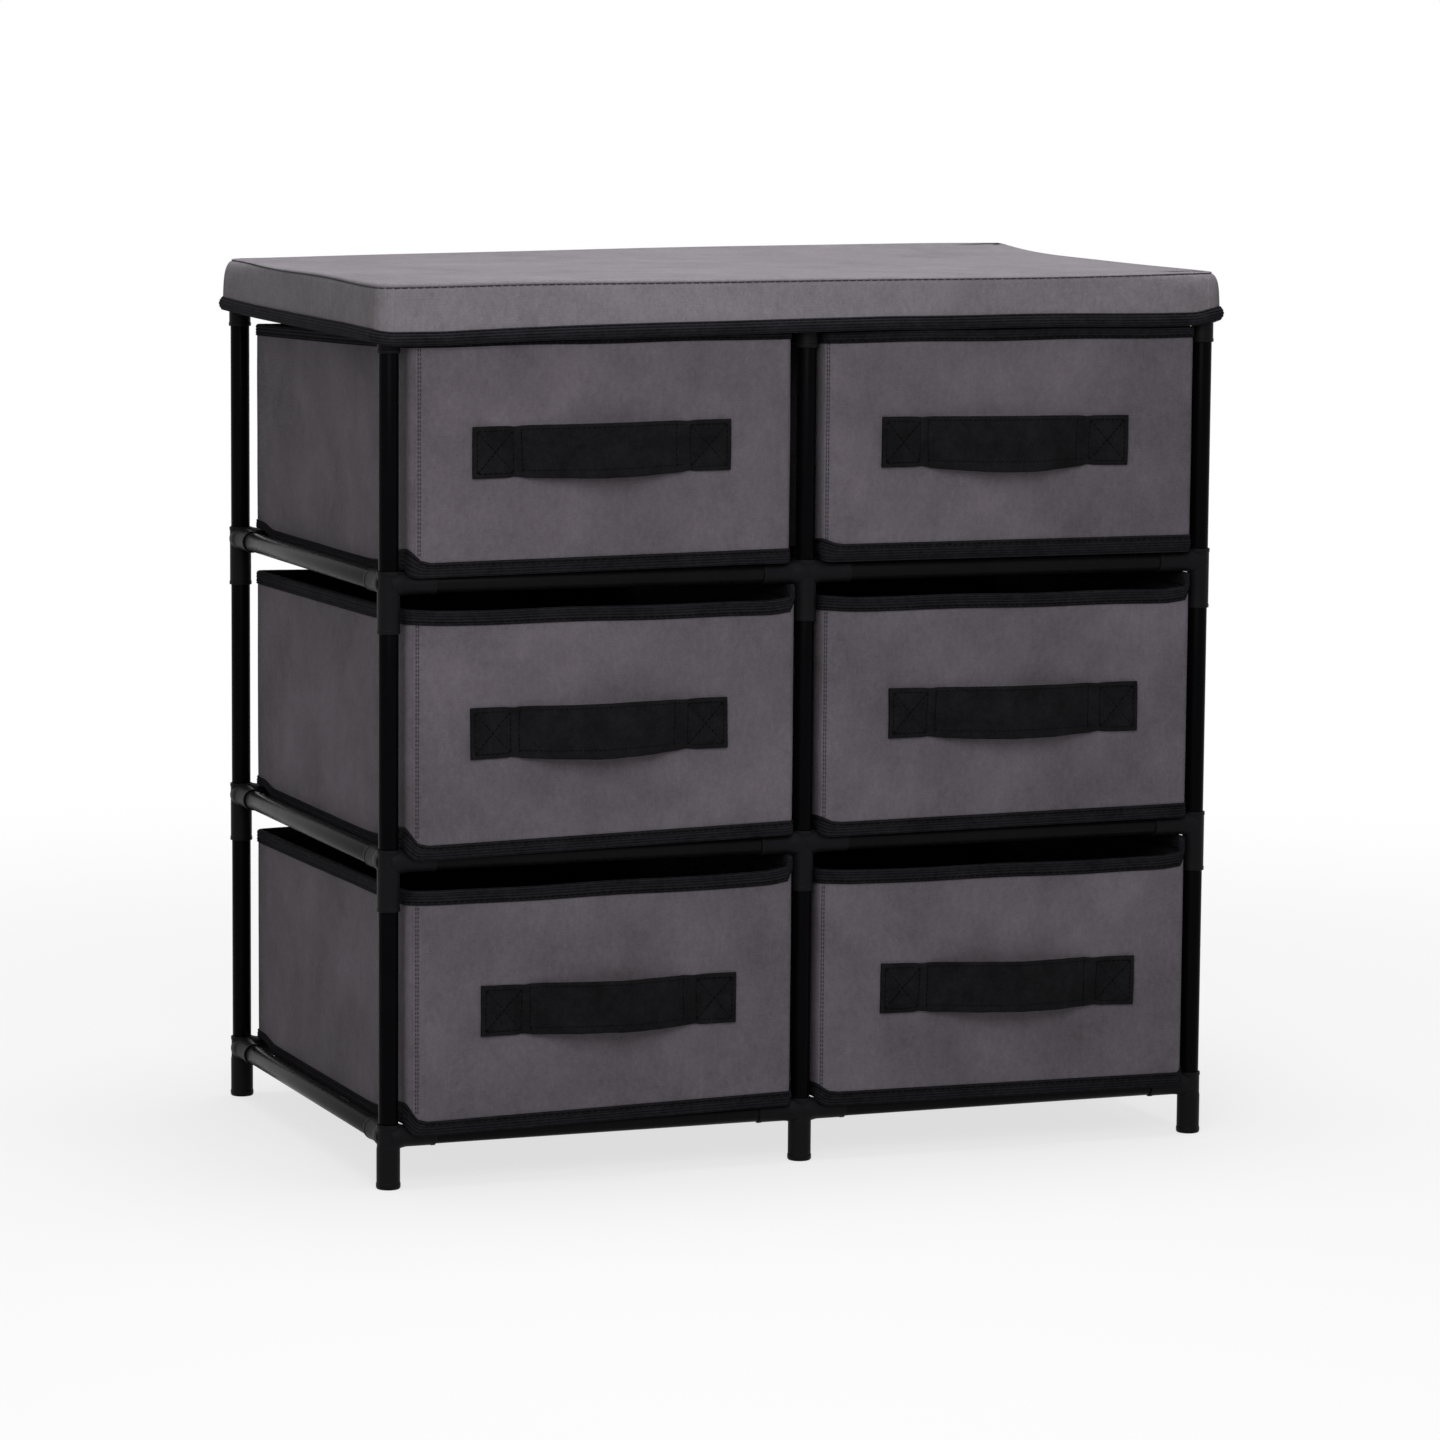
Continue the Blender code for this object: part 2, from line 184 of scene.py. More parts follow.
STRAP_EDGE_SEAMS = (0.075, 0.86)

# Each strap as sewn: shift along, shift up, turn in degrees, extra length, and how far its
# lower edge sags
STRAPS = {
    ("left", "top"): (-0.0023, 0.0026, 0.70, -0.0010, 0.0012),
    ("right", "top"): (-0.0050, 0.0022, -0.60, 0.0, 0.0030),
    ("left", "middle"): (-0.0030, 0.0008, 0.40, -0.0010, 0.0016),
    ("right", "middle"): (0.0034, 0.0020, -0.45, 0.0030, 0.0012),
    ("left", "bottom"): (0.0040, -0.0014, -0.15, -0.0010, 0.0),
    ("right", "bottom"): (0.0020, -0.0036, -1.30, 0.0070, 0.0),
}

# Sewing. A stitch's section is a share of its length and of its thread's radius
STITCH = 0.0031
STITCH_PITCH = 0.0041
THREAD = 0.00028
STITCH_LIFT = 0.00022
STITCH_SECTION = ((-0.5, 0.35), (-0.38, 0.9), (0.0, 1.0), (0.38, 0.9), (0.5, 0.35))
STITCH_SIDES = 6
STITCH_FLATNESS = 0.8
STITCH_RISE = 0.35
SEAM_STITCHES = (0.0015, 0.0028)
SEAM_PITCH = 0.0026
SEAM_THREAD = 0.00034
FOLD_SECTION = (
    (-0.0009, -0.0002), (-0.0006, 0.0001), (0.0, 0.0003), (0.0006, 0.0001), (0.0009, -0.0002))

# Lid
LID_STEP = 0.0045
LID_CLOTH = 0.0012
LID_CORNER = 0.0100
LID_HEM = 0.0080
LID_HEM_BELLY = 0.0016
LID_HEM_RIB = 0.00018
LID_HEM_RIBS = 4
LID_HEM_RISE = 0.0003
LID_HEM_TWIST = 0.0115
LID_HEM_STITCHES = 0.90
LID_CROWN = 0.0016
LID_BOARD = 0.0022
LID_BOARD_PLAY = 0.0030
LID_BOARD_EDGE = 0.0006
LID_SEAM_PITCH = 0.0048
LID_SEAM_THREAD = 0.00046
LID_STITCH_LIFT = 0.0006
LID_FRONT_SEAM_DROP = 0.0031
LID_FAR_SEAM_DROP = 0.0011
LID_CORNER_SEAM = 0.0105
LID_FLARE = 0.0006
LID_FRONT_FLARE = 0.0038
LID_EDGE_ROUND = 0.0038
LID_GROOVE = 0.0012

# How the lid's top warps: its rear edge rises at the left and more to the right, its right
# end rises, more at the rear, and its front left corner dips
LID_REAR_RISE = 0.0007
LID_REAR_WARP = 0.0066
LID_RIGHT_RISE = 0.0020
LID_RIGHT_TILT = 0.0006
LID_RIGHT_SPAN = (0.150, 0.274)
LID_LEFT_DIP = 0.0008
LID_LEFT_DIP_REACH = 0.120

# Ripples of the lid: of its top and hem, of the hem's flare, and of the skirt
LID_RIPPLE = 0.0003
LID_FLARE_RIPPLE = 0.0002
LID_WAVE = 0.0004

# Where the top's edge is rounder: from where to where along X, and the reach of a corner
LID_ROUND_SPAN = (0.200, 0.270)
LID_ROUND_REACH = 0.120

# Where the seam comes down towards the front left: between which places along X, and over
# how many half depths from the front
LID_SEAM_START = 0.25
LID_SEAM_REACH = 0.51
LID_SEAM_DEPTH = 1.75

# How far the lid's hem hangs at its front and left, and what its corners add to its height
# and to its flare: which corner, how far, and over what distance
LID_FRONT_SAG = 0.0056
LID_FRONT_SAG_START = -0.235
LID_FRONT_SAG_FADE = 0.13
LID_FRONT_SAG_SPAN = (0.06, -0.06)
LID_LEFT_SAG = 0.0032
LID_LEFT_REAR_RISE = 0.0028
LID_LEFT_REAR_REACH = 0.160
LID_LEFT_FRONT_SAG = 0.0014
LID_LEFT_FRONT_SPAN = (-0.09, -0.16)
LID_CALM_SPAN = (0.02, 0.07)
LID_FLARE_SPAN = (0.09, 0.02)
LID_HEM_CORNERS = ((1, -1, 0.0036, 0.022), (1, 1, 0.0030, 0.100))
LID_FLARE_CORNERS = ((-1, 1, 0.0008, 0.060), (1, 1, 0.0010, 0.060), (1, -1, 0.0008, 0.030))

# The rows of points over the lid's cover: shares of the skirt's height, shares of the round
# from seam to top with their inset, and shares of the top from its edge to its middle
SKIRT_SHARES = (0.0, 0.1, 0.22, 0.34, 0.46, 0.58, 0.70, 0.79, 0.86, 0.91, 0.95, 0.975, 0.99)
BAND = (
    (0.0, LID_GROOVE), (0.12, 0.0006), (0.25, 0.0001), (0.45, 0.0001), (0.70, 0.0006),
    (0.88, 0.0015), (0.97, 0.0028), (1.0, 0.0045))
TOP_EDGE = 0.0065
TOP_RINGS = (0.93, 0.85, 0.75, 0.62, 0.48, 0.34, 0.2, 0.08, 0.015)

# Light: the world's strength on the object, and each lamp's place, size and watts
WORLD_LIGHT = 0.30
LAMPS = {
    "overhead": ((0.05, 0.05, 2.30), 1.0, 28.0),
    "key": ((-0.40, -1.15, 0.92), 0.7, 5.2),
    "left": ((-2.20, -0.90, 1.20), 0.5, 0.9),
}
LAMP_AIM = (0.0, 0.0, 0.45)

# Floor: how far it reaches, where it turns white, its least white, and its greys
FLOOR_HALF = 60.0
FLOOR_NEAR = 0.45
FLOOR_FAR = 1.6
FLOOR_WHITE = 0.72
FLOOR_LIT = 0.50
FLOOR_SEEN = 0.90

# Camera: place, turn in degrees, and focal length for a 36 mm square sensor
CAMERA_PLACE = (-1.255, -3.2363, 0.685)
CAMERA_YAW = 21.24
CAMERA_PITCH = -7.07
CAMERA_ROLL = 0.45
CAMERA_LENS = 138.1
CAMERA_FAR = 200.0
SENSOR = 36.0


# Mesh helpers

def smooth(share):
    """Eases a share from 0 to 1."""
    share = np.clip(share, 0, 1)
    return share * share * (3 - 2 * share)


def ramp(value, start, end):
    """Eases from 0 where value is start to 1 where it is end."""
    return smooth((value - start) / (end - start))


def fade(away, width):
    """Gives 1 where away is 0, and falls softly to nothing at about twice the width."""
    return np.exp(-(away / width) ** 2)


def unit(vectors):
    return vectors / np.linalg.norm(vectors, axis=-1, keepdims=True)


def mesh_object(name, points, faces, material, uv=None):
    """Makes a smooth-shaded mesh object, with a UV map in metres where uv is given."""
    mesh = bpy.data.meshes.new(name)
    mesh.from_pydata([tuple(p) for p in points], [], [tuple(f) for f in faces])
    if uv is not None:
        layer = mesh.uv_layers.new(name="cloth")
        layer.uv.foreach_set("vector", np.asarray(uv, np.float32).ravel())
    mesh.materials.append(material)
    mesh.shade_smooth()
    mesh.set_sharp_from_angle(angle=math.radians(SHARP_ANGLE))
    made = bpy.data.objects.new(name, mesh)
    bpy.context.scene.collection.objects.link(made)
    return made


def grid_faces(rows, columns, wrap_rows, wrap_columns):
    """Gives a grid's faces and, for each corner, its row and column before wrapping."""
    r, c = np.meshgrid(
        np.arange(rows if wrap_rows else rows - 1),
        np.arange(columns if wrap_columns else columns - 1), indexing="ij")
    corners = [(r, c), (r, c + 1), (r + 1, c + 1), (r + 1, c)]
    faces = np.stack([(i % rows) * columns + j % columns for i, j in corners], -1)
    at = np.stack([np.stack(pair, -1) for pair in corners], -2)
    return faces.reshape(-1, 4), at.reshape(-1, 2)


def closed_grid(grid):
    """Gives the points and faces of rows that wrap round, closed by a face at each end."""
    rows, columns = grid.shape[:2]
    faces, at = grid_faces(rows, columns, True, False)
    ring = np.arange(rows) * columns
    return grid.reshape(-1, 3), [*faces, ring, ring[::-1] + columns - 1], at


def flat_uv(points, faces, axes=(0, 1)):
    """Gives a UV for each corner of each face: its place along two axes."""
    return np.concatenate([points[face][:, axes] for face in faces])


def soften(corners, radius, steps=3):
    """Rounds a closed polyline's corners. A corner may bring its own radius as a third value."""
    points = [np.array(corner[:2], float) for corner in corners]
    made = []
    for i, (here, corner) in enumerate(zip(points, corners)):
        sides = (points[i - 1] - here, points[(i + 1) % len(points)] - here)
        own = corner[2] if len(corner) > 2 else radius
        reach = min(own, *(ROUND_SHARE * np.linalg.norm(side) for side in sides))
        a, b = (here + unit(side) * reach for side in sides)
        for t in np.linspace(0, 1, steps + 1):
            made.append((1 - t) ** 2 * a + 2 * t * (1 - t) * here + t ** 2 * b)
    return np.array(made)


def lengths_along(points, closed):
    """Gives the length from the first point to each, with the whole round if closed."""
    chain = np.vstack([points, points[:1]]) if closed else points
    return np.concatenate([[0.0], np.cumsum(np.linalg.norm(np.diff(chain, axis=0), axis=1))])


def revolve(profile):
    """Turns a closed profile of (radius, height) about Z. Gives points and faces."""
    angles = np.arange(ROUND_SEGMENTS) * 2 * math.pi / ROUND_SEGMENTS
    r, z = profile[:, 0, None], profile[:, 1, None]
    ring = np.stack([r * np.cos(angles), r * np.sin(angles), z + 0 * angles], -1)
    faces, _ = grid_faces(len(profile), ROUND_SEGMENTS, True, True)
    return ring.reshape(-1, 3), faces


def merge(parts):
    """Joins (points, faces) pairs into one."""
    starts = np.cumsum([0] + [len(points) for points, _ in parts])
    faces = [faces + start for (_, faces), start in zip(parts, starts)]
    return np.vstack([points for points, _ in parts]), np.vstack(faces)


class Outline:
    """A rounded rectangle, anticlockwise seen from above, from the middle of the rear.

    Its corners come in the order of CORNER_SIGNS, and each has its own radius.
    """

    def __init__(self, centre, half_x, half_y, radii, step=OUTLINE_STEP):
        self.centre = np.array(centre, float)
        self.half_x, self.half_y = half_x, half_y
        self.points, self.ways = [(0.0, half_y)], [(0.0, 1.0)]
        for k, ((sign_x, sign_y), radius) in enumerate(zip(CORNER_SIGNS, radii)):
            middle = np.array((sign_x * (half_x - radius), sign_y * (half_y - radius)))
            angles = np.radians(90 + 90 * (k + np.arange(CORNER_TURNS + 1) / CORNER_TURNS))
            arc = np.stack([np.cos(angles), np.sin(angles)], -1)
            self.run_to(middle + radius * arc[0], step)
            self.points += [tuple(middle + radius * way) for way in arc]
            self.ways += [tuple(way) for way in arc]
        self.run_to(np.array((0.0, half_y)), step)
        self.local = np.array(self.points)
        self.normals = np.array(self.ways)
        self.facing = np.column_stack([self.normals, np.zeros(len(self.normals))])
        self.s = lengths_along(self.local, closed=True)

    def run_to(self, target, step):
        """Adds points on the straight towards a target, without the target itself."""
        last = np.array(self.points[-1])
        count = max(2, round(np.linalg.norm(target - last) / step))
        for k in range(1, count):
            self.points.append(tuple(last + (target - last) * k / count))
            self.ways.append(self.ways[-1])

    def place(self, out, z):
        """Gives the points that lie out beyond the outline and at height z."""
        shape = np.broadcast_shapes(np.shape(out), np.shape(z), self.s[:-1].shape)
        out = np.broadcast_to(out, shape)
        flat = self.centre[:2] + self.local + self.normals * out[..., None]
        return np.concatenate([flat, np.broadcast_to(z, shape)[..., None]], -1)

    def uv(self, grid, at):
        """Gives the UV of a grid of rows round the outline: lengths along and across."""
        v = lengths_along(grid[:, grid.shape[1] // 2], closed=True)
        return np.stack([self.s[at[:, 1]], v[at[:, 0]]], -1)


def sweep(name, outline, out, z, material):
    """Sweeps a closed section round an outline. out and z hold one row for each of its points."""
    grid = outline.place(out, z)
    faces, at = grid_faces(*grid.shape[:2], True, True)
    return mesh_object(name, grid.reshape(-1, 3), faces, material, outline.uv(grid, at))


# Materials

class Nodes:
    """Builds the nodes of a material or world in short lines."""

    def __init__(self, owner):
        self.owner = owner
        owner.use_nodes = True
        self.tree = owner.node_tree

    def fill(self, node, sockets):
        """Puts a value or another node's output into each of a node's named sockets."""
        for key, value in sockets.items():
            if isinstance(value, bpy.types.NodeSocket):
                self.tree.links.new(value, node.inputs[key])
            else:
                node.inputs[key].default_value = value

    def add(self, kind, sockets=None, **settings):
        node = self.tree.nodes.new(kind)
        for key, value in settings.items():
            setattr(node, key, value)
        self.fill(node, sockets or {})
        return node

    def math(self, operation, a, b=0.0, c=0.0):
        return self.add("ShaderNodeMath", {0: a, 1: b, 2: c}, operation=operation).outputs[0]

    def cloth_place(self):
        """Gives the cloth's own coordinates, in metres along and across it."""
        return self.add("ShaderNodeUVMap", uv_map="cloth").outputs["UV"]

    def object_place(self):
        return self.add("ShaderNodeTexCoord").outputs["Object"]

    def noise(self, scale, detail=2.0, roughness=0.5, stretch=(1, 1, 1)):
        place = self.add("ShaderNodeMapping", {"Vector": self.object_place(), "Scale": stretch})
        sockets = {"Vector": place.outputs["Vector"], "Scale": scale}
        sockets |= {"Detail": detail, "Roughness": roughness}
        return self.add("ShaderNodeTexNoise", sockets).outputs["Fac"]

    def ridges(self, axis, pitch):
        """Gives even waves along one axis of the cloth, from 0 to 1."""
        parts = self.add("ShaderNodeSeparateXYZ", {0: self.cloth_place()})
        turn = self.math("MULTIPLY", parts.outputs[axis], 2 * math.pi / pitch)
        return self.spread(self.math("SINE", turn), 0.5, 1.0)

    def spread(self, value, low, high):
        """Maps 0 to 1 onto low to high."""
        return self.math("MULTIPLY_ADD", value, high - low, low)

    def contrast(self, value, low, high, start=0.0, kind="LINEAR"):
        """Stretches low to high onto start to 1."""
        sockets = {"Value": value, "From Min": low, "From Max": high, "To Min": start}
        return self.add("ShaderNodeMapRange", sockets, interpolation_type=kind).outputs["Result"]

    def weigh(self, *parts):
        """Adds up (value, weight) pairs."""
        total = 0.0
        for value, weight in parts:
            total = self.math("MULTIPLY_ADD", value, weight, total)
        return total

    def tint(self, value, colour, dark, light):
        """Gives a colour made darker or lighter, from dark times at 0 to light times at 1."""
        a, b = ((*(part * times for part in colour), 1.0) for times in (dark, light))
        sockets = {"Factor": value, "A": a, "B": b}
        return self.add("ShaderNodeMix", sockets, data_type="RGBA").outputs["Result"]

    def bumps(self, *layers):
        """Gives the normal over layers of (height, distance), each on the one before."""
        sockets = {"Strength": 1.0}
        for height, distance in layers:
            sockets |= {"Height": height, "Distance": distance}
            sockets["Normal"] = self.add("ShaderNodeBump", sockets).outputs["Normal"]
        return sockets["Normal"]

    def mix(self, share, first, second):
        return self.add("ShaderNodeMixShader", {0: share, 1: first, 2: second}).outputs[0]

    def seen(self):
        """Gives 1 for what the camera and reflections see, 0 for what lights the scene."""
        rays = self.add("ShaderNodeLightPath").outputs
        direct = self.math("MAXIMUM", rays["Is Camera Ray"], rays["Is Glossy Ray"])
        return self.math("MAXIMUM", direct, rays["Is Transmission Ray"])

    def finish(self, colour, roughness, normal, specular, **sheen):
        sockets = {"Base Color": colour, "Roughness": roughness, "Normal": normal}
        sockets |= {"Specular IOR Level": specular, **sheen}
        self.fill(self.tree.nodes["Principled BSDF"], sockets)
        return self.owner


def material_nodes(name):
    return Nodes(bpy.data.materials.new(name))


def linear(red, green, blue):
    """Gives the linear colour of an sRGB one from 0 to 255."""
    parts = [v / 255 for v in (red, green, blue)]
    return tuple(p / 12.92 if p <= 0.04045 else ((p + 0.055) / 1.055) ** 2.4 for p in parts)


def bonded_cloth(name, colour, emboss=1.0, cloudy=0.22):
    """Needled, bonded cloth: matted fibres, a fine embossed grid, cloudy tone.

    The greater cloudy is, from 0 to 0.5, the stronger its clouds are.
    """
    n = material_nodes(name)
    cloud = n.noise(17.0, 3.0, 0.55)
    blotch = n.noise(75.0, 3.0, 0.6, stretch=(1.0, 1.0, 0.75))
    fibre = n.noise(620.0, 4.0, 0.75)
    hair = n.noise(300.0, 3.0, 0.65, stretch=(1.0, 1.0, 0.6))
    grid = n.math("MULTIPLY", n.ridges(0, 0.0016), n.ridges(1, 0.0016))
    clouds = n.contrast(cloud, cloudy, 1 - cloudy)
    tone = n.weigh(
        (clouds, 0.26), (blotch, 0.16), (fibre, 0.34), (hair, 0.24), (grid, -0.04 * emboss))
    return n.finish(
        n.tint(tone, colour, 0.10, 1.93), n.spread(hair, 0.88, 0.98),
        n.bumps((cloud, 0.0014), (grid, 0.00007 * emboss), (fibre, 0.00034)), 0.10,
        **{"Sheen Weight": 0.03, "Sheen Roughness": 0.6})


def binding_cloth(name, colour, pitch=0.0017):
    """Woven tape: fine ribs, crossed by its threads."""
    n = material_nodes(name)
    rib, cross = n.ridges(1, pitch), n.ridges(0, 0.0007)
    fuzz = n.noise(1100.0, 3.0, 0.6)
    wear = n.noise(45.0, 2.0, 0.6)
    fleck = n.noise(340.0, 3.0, 0.6)
    tone = n.weigh((rib, 0.20), (wear, 0.25), (fuzz, 0.20), (fleck, 0.35))
    return n.finish(
        n.tint(n.contrast(tone, 0.32, 0.68), colour, 0.30, 1.75), n.spread(fuzz, 0.66, 0.88),
        n.bumps((rib, 0.00020), (cross, 0.00005), (fuzz, 0.00010)), 0.02)


def webbing_cloth(name, colour):
    """Ribbed webbing: cords across the strap, with a slight twill between them."""
    n = material_nodes(name)
    woven = n.math("ABSOLUTE", n.math("SUBTRACT", n.ridges(0, 0.0018), n.ridges(1, 0.0016)))
    fuzz = n.noise(900.0, 3.0, 0.6)
    worn = n.noise(60.0, 3.0, 0.6)
    fleck = n.noise(300.0, 3.0, 0.6)
    tone = n.weigh((woven, 0.25), (fuzz, 0.15), (worn, 0.35), (fleck, 0.25))
    return n.finish(
        n.tint(n.contrast(tone, 0.34, 0.66), colour, 0.30, 1.75), n.spread(fuzz, 0.58, 0.80),
        n.bumps((woven, 0.00022), (fuzz, 0.00010)), 0.04)


def thread(name, colour, gloss):
    """Sewing thread: its twist in tone, gloss and height."""
    n = material_nodes(name)
    twist = n.noise(2200.0)
    base = n.tint(twist, colour, 0.7, 1.4)
    return n.finish(base, n.spread(twist, 0.5, 0.75), n.bumps((twist, 0.00005)), gloss)


def powder_coat(name, colour, gloss):
    """Black lacquer on tube: slight orange peel, faint rubbing."""
    n = material_nodes(name)
    peel = n.noise(260.0)
    rub = n.noise(35.0, 4.0, 0.65)
    base = n.tint(rub, colour, 0.7, 1.4)
    return n.finish(base, n.spread(rub, 0.20, 0.36), n.bumps((peel, 0.00006)), gloss)


def moulded_plastic(name, colour):
    """Satin black moulding with a fine spark-eroded grain."""
    n = material_nodes(name)
    grain = n.noise(1500.0, roughness=0.55)
    flow = n.noise(60.0, 3.0, 0.6)
    base = n.tint(flow, colour, 0.7, 1.4)
    return n.finish(base, n.spread(grain, 0.38, 0.54), n.bumps((grain, 0.00005)), 0.05)


def pressed_board(name, colour):
    """Hardboard: short pressed fibres in two tones."""
    n = material_nodes(name)
    chips = n.noise(320.0, 5.0, 0.75)
    base = n.tint(n.weigh((chips, 0.75), (n.noise(12.0), 0.25)), colour, 0.55, 1.45)
    return n.finish(base, n.spread(chips, 0.7, 0.9), n.bumps((chips, 0.0001)), 0.2)


DRAWER_CLOTH = bonded_cloth("drawer_cloth", linear(110, 104, 111))
LID_TOP_CLOTH = bonded_cloth("lid_cloth", linear(133, 128, 134), emboss=0.7, cloudy=0.0)
LINING = bonded_cloth("black_lining", linear(24, 24, 27))
BOARD_CLOTH = bonded_cloth("board_cloth", linear(44, 43, 47))
TAPE = binding_cloth("binding_tape", linear(32, 31, 34))
LID_TAPE = binding_cloth("lid_binding", linear(35, 34, 38), pitch=0.0019)
WEBBING = webbing_cloth("webbing", linear(27, 27, 29))
BLACK_THREAD = thread("black_thread", linear(7, 7, 9), 0.02)
GREY_THREAD = thread("grey_thread", linear(56, 54, 60), 0.15)
# The level tubes' lacquer is the posts' lacquer painted lighter: a painted highlight for the light that
# lying tubes catch from above
LIT_LEVEL_LACQUER = powder_coat("black_lacquer_painted_lit", linear(20, 20, 21), 0.03)
POST_LACQUER = powder_coat("black_lacquer", linear(7, 7, 9), 0.02)
PLASTIC = moulded_plastic("black_moulding", linear(22, 22, 24))
HARDBOARD = pressed_board("hardboard", linear(150, 124, 92))


# Places in the frame

def middle_of(node):
    low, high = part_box(node)
    return (low + high) / 2


def half_of(node):
    low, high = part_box(node)
    return (high - low) / 2


COLUMN_X = {c: middle_of(f"side_tube_{c}_level_1").x for c in COLUMNS}
ROW_Y = {r: middle_of(f"rail_{r}_left_level_1").y for r in ROWS}
LEVEL_Z = {level: middle_of(f"rail_front_left_level_{level}").z for level in LEVELS}
TUBE_RADIUS = half_of("rail_front_left_level_1").z
OUTWARD = {"left": (1,), "middle": (-1, 1), "right": (-1,)}
INWARD = {"front": 1, "rear": -1}


def settle(piece, body, slot, *replaced):
    """Ties a piece to its body and hides the nodes it stands for; its slot is not used."""
    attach(piece, body)
    if replaced:
        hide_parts(*replaced)


# Frame: tubes

def tube_object(name, start, end, turn, place, lacquer):
    """Makes a tube from start to end along its own axis, turned and then placed."""
    inner = TUBE_RADIUS - TUBE_WALL
    corners = [(TUBE_RADIUS, start), (TUBE_RADIUS, end), (inner, end), (inner, start)]
    points, faces = revolve(soften(corners, TUBE_EDGE, steps=2))
    return mesh_object(name, points @ np.array(turn).T + np.array(place), faces, lacquer)


def make_level_tube(node, axis):
    """Makes the tube of a node that lies along an axis: 0 for X, 1 for Y."""
    low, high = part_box(node)
    place = middle_of(node)
    place[axis] = 0
    turn = Matrix.Rotation((1, -1)[axis] * math.pi / 2, 3, "YX"[axis])
    piece = tube_object(f"tube_{node}", low[axis], high[axis], turn, place, LIT_LEVEL_LACQUER)
    settle(piece, "frame", "black_tube", node)


def make_level_tubes():
    for level in LEVELS:
        for row in ROWS:
            for bay in BAYS:
                make_level_tube(f"rail_{row}_{bay}_level_{level}", 0)
        for column in COLUMNS:
            make_level_tube(f"side_tube_{column}_level_{level}", 1)


def make_post_tubes():
    for row in ROWS:
        for column in COLUMNS:
            place = (COLUMN_X[column], ROW_Y[row], 0)
            for lower, upper in zip(LEVELS, LEVELS[1:]):
                start = LEVEL_Z[lower] + BARREL_RISE - POST_SOCKET + SOCKET_PLAY
                end = LEVEL_Z[upper] - BARREL_DROP + POST_SOCKET - SOCKET_PLAY
                name = f"post_tube_{row}_{column}_{lower}"
                piece = tube_object(name, start, end, Matrix.Identity(3), place, POST_LACQUER)
                settle(piece, "frame", "black_plastic", f"post_{row}_{column}")


# Frame: connectors

def mouth(radius, tip, depth, way):
    """Gives a socket's lip from outside to bottom: a raised rim, then the bore."""
    bore = TUBE_RADIUS + SOCKET_PLAY
    return [
        (radius, tip - way * (RIM_WIDTH + RIM_RISE)),
        (radius + RIM_RISE, tip - way * RIM_WIDTH),
        (radius + RIM_RISE, tip),
        (bore, tip),
        (bore, tip - way * depth),
        (PLASTIC_CORE, tip - way * depth)]


def barrel_profile(low, foot):
    """Gives the section of a connector's upright body."""
    upper = mouth(BARREL_RADIUS, BARREL_RISE, POST_SOCKET, 1)
    if foot:
        groove = low + FOOT_GROOVE_HEIGHT
        shoulder = -ARM_RADIUS - PLASTIC_EDGE
        lower = [
            (PLASTIC_CORE, low),
            (FOOT_RADIUS + RIM_RISE, low, FOOT_EDGE),
            (FOOT_RADIUS + RIM_RISE, groove),
            (FOOT_RADIUS, groove + RIM_RISE),
            (FOOT_RADIUS, shoulder),
            (BARREL_RADIUS, shoulder + FOOT_EDGE)]
    else:
        lower = mouth(BARREL_RADIUS, low, POST_SOCKET, -1)[::-1]
    return soften(lower + upper, PLASTIC_EDGE)


def arm_profile():
    """Gives the section of an arm: flared at the barrel, rimmed at its mouth."""
    flared = ARM_RADIUS + ARM_FLARE / 3
    corners = [
        (PLASTIC_CORE, 0.0), (flared, 0.0),
        (flared, BARREL_RADIUS - ARM_FLARE / 4, ARM_FLARE / 2),
        (ARM_RADIUS, BARREL_RADIUS + ARM_FLARE, ARM_FLARE)]
    return soften(corners + mouth(ARM_RADIUS, ARM_REACH, SOCKET_DEPTH, 1), PLASTIC_EDGE)


def connector_object(name, row, column, level):
    foot = level == LEVELS[0]
    low = -LEVEL_Z[level] if foot else -BARREL_DROP
    arm_points, arm_faces = revolve(arm_profile())
    turns = [Matrix.Rotation(way * math.pi / 2, 3, "Y") for way in OUTWARD[column]]
    turns.append(Matrix.Rotation(-INWARD[row] * math.pi / 2, 3, "X"))
    arms = [(arm_points @ np.array(turn).T, arm_faces) for turn in turns]
    return mesh_object(name, *merge([revolve(barrel_profile(low, foot))] + arms), PLASTIC)


def make_connectors():
    for row in ROWS:
        for column in COLUMNS:
            for level in LEVELS:
                piece = connector_object(f"connector_{row}_{column}_{level}", row, column, level)
                piece.location = (COLUMN_X[column], ROW_Y[row], LEVEL_Z[level])
                settle(piece, "frame", "black_plastic", f"post_{row}_{column}")


# Sewing

def stitch_row(points, normals, closed=False, pitch=STITCH_PITCH, size=THREAD):
    """Gives stitches laid along a line of points on a surface with those normals."""
    if closed:
        points, normals = (np.vstack([a, a[:1]]) for a in (points, normals))
    at = lengths_along(points, closed=False)
    count = max(1, int(at[-1] / pitch))
    share = STITCH / STITCH_PITCH * at[-1] / count / 2
    middles = (np.arange(count) + 0.5) * at[-1] / count

    def sample(values, where):
        return np.stack([np.interp(where, at, values[:, k]) for k in range(3)], -1)

    start, end = sample(points, middles - share), sample(points, middles + share)
    up, along = unit(sample(normals, middles)), end - start
    side = unit(np.cross(up, along))
    angles = np.arange(STITCH_SIDES) * 2 * math.pi / STITCH_SIDES
    high = STITCH_FLATNESS * np.sin(angles) + STITCH_RISE
    rings = [
        (start + end)[:, None] / 2 + t * along[:, None]
        + size * swell * np.cos(angles)[None, :, None] * side[:, None]
        + size * swell * high[None, :, None] * up[:, None] for t, swell in STITCH_SECTION]
    quads, _ = grid_faces(len(rings), STITCH_SIDES, False, True)
    starts = np.arange(count) * len(rings) * STITCH_SIDES
    faces = (quads[None, :, ::-1] + starts[:, None, None]).reshape(-1, 4)
    return np.stack(rings, 1).reshape(-1, 3), faces


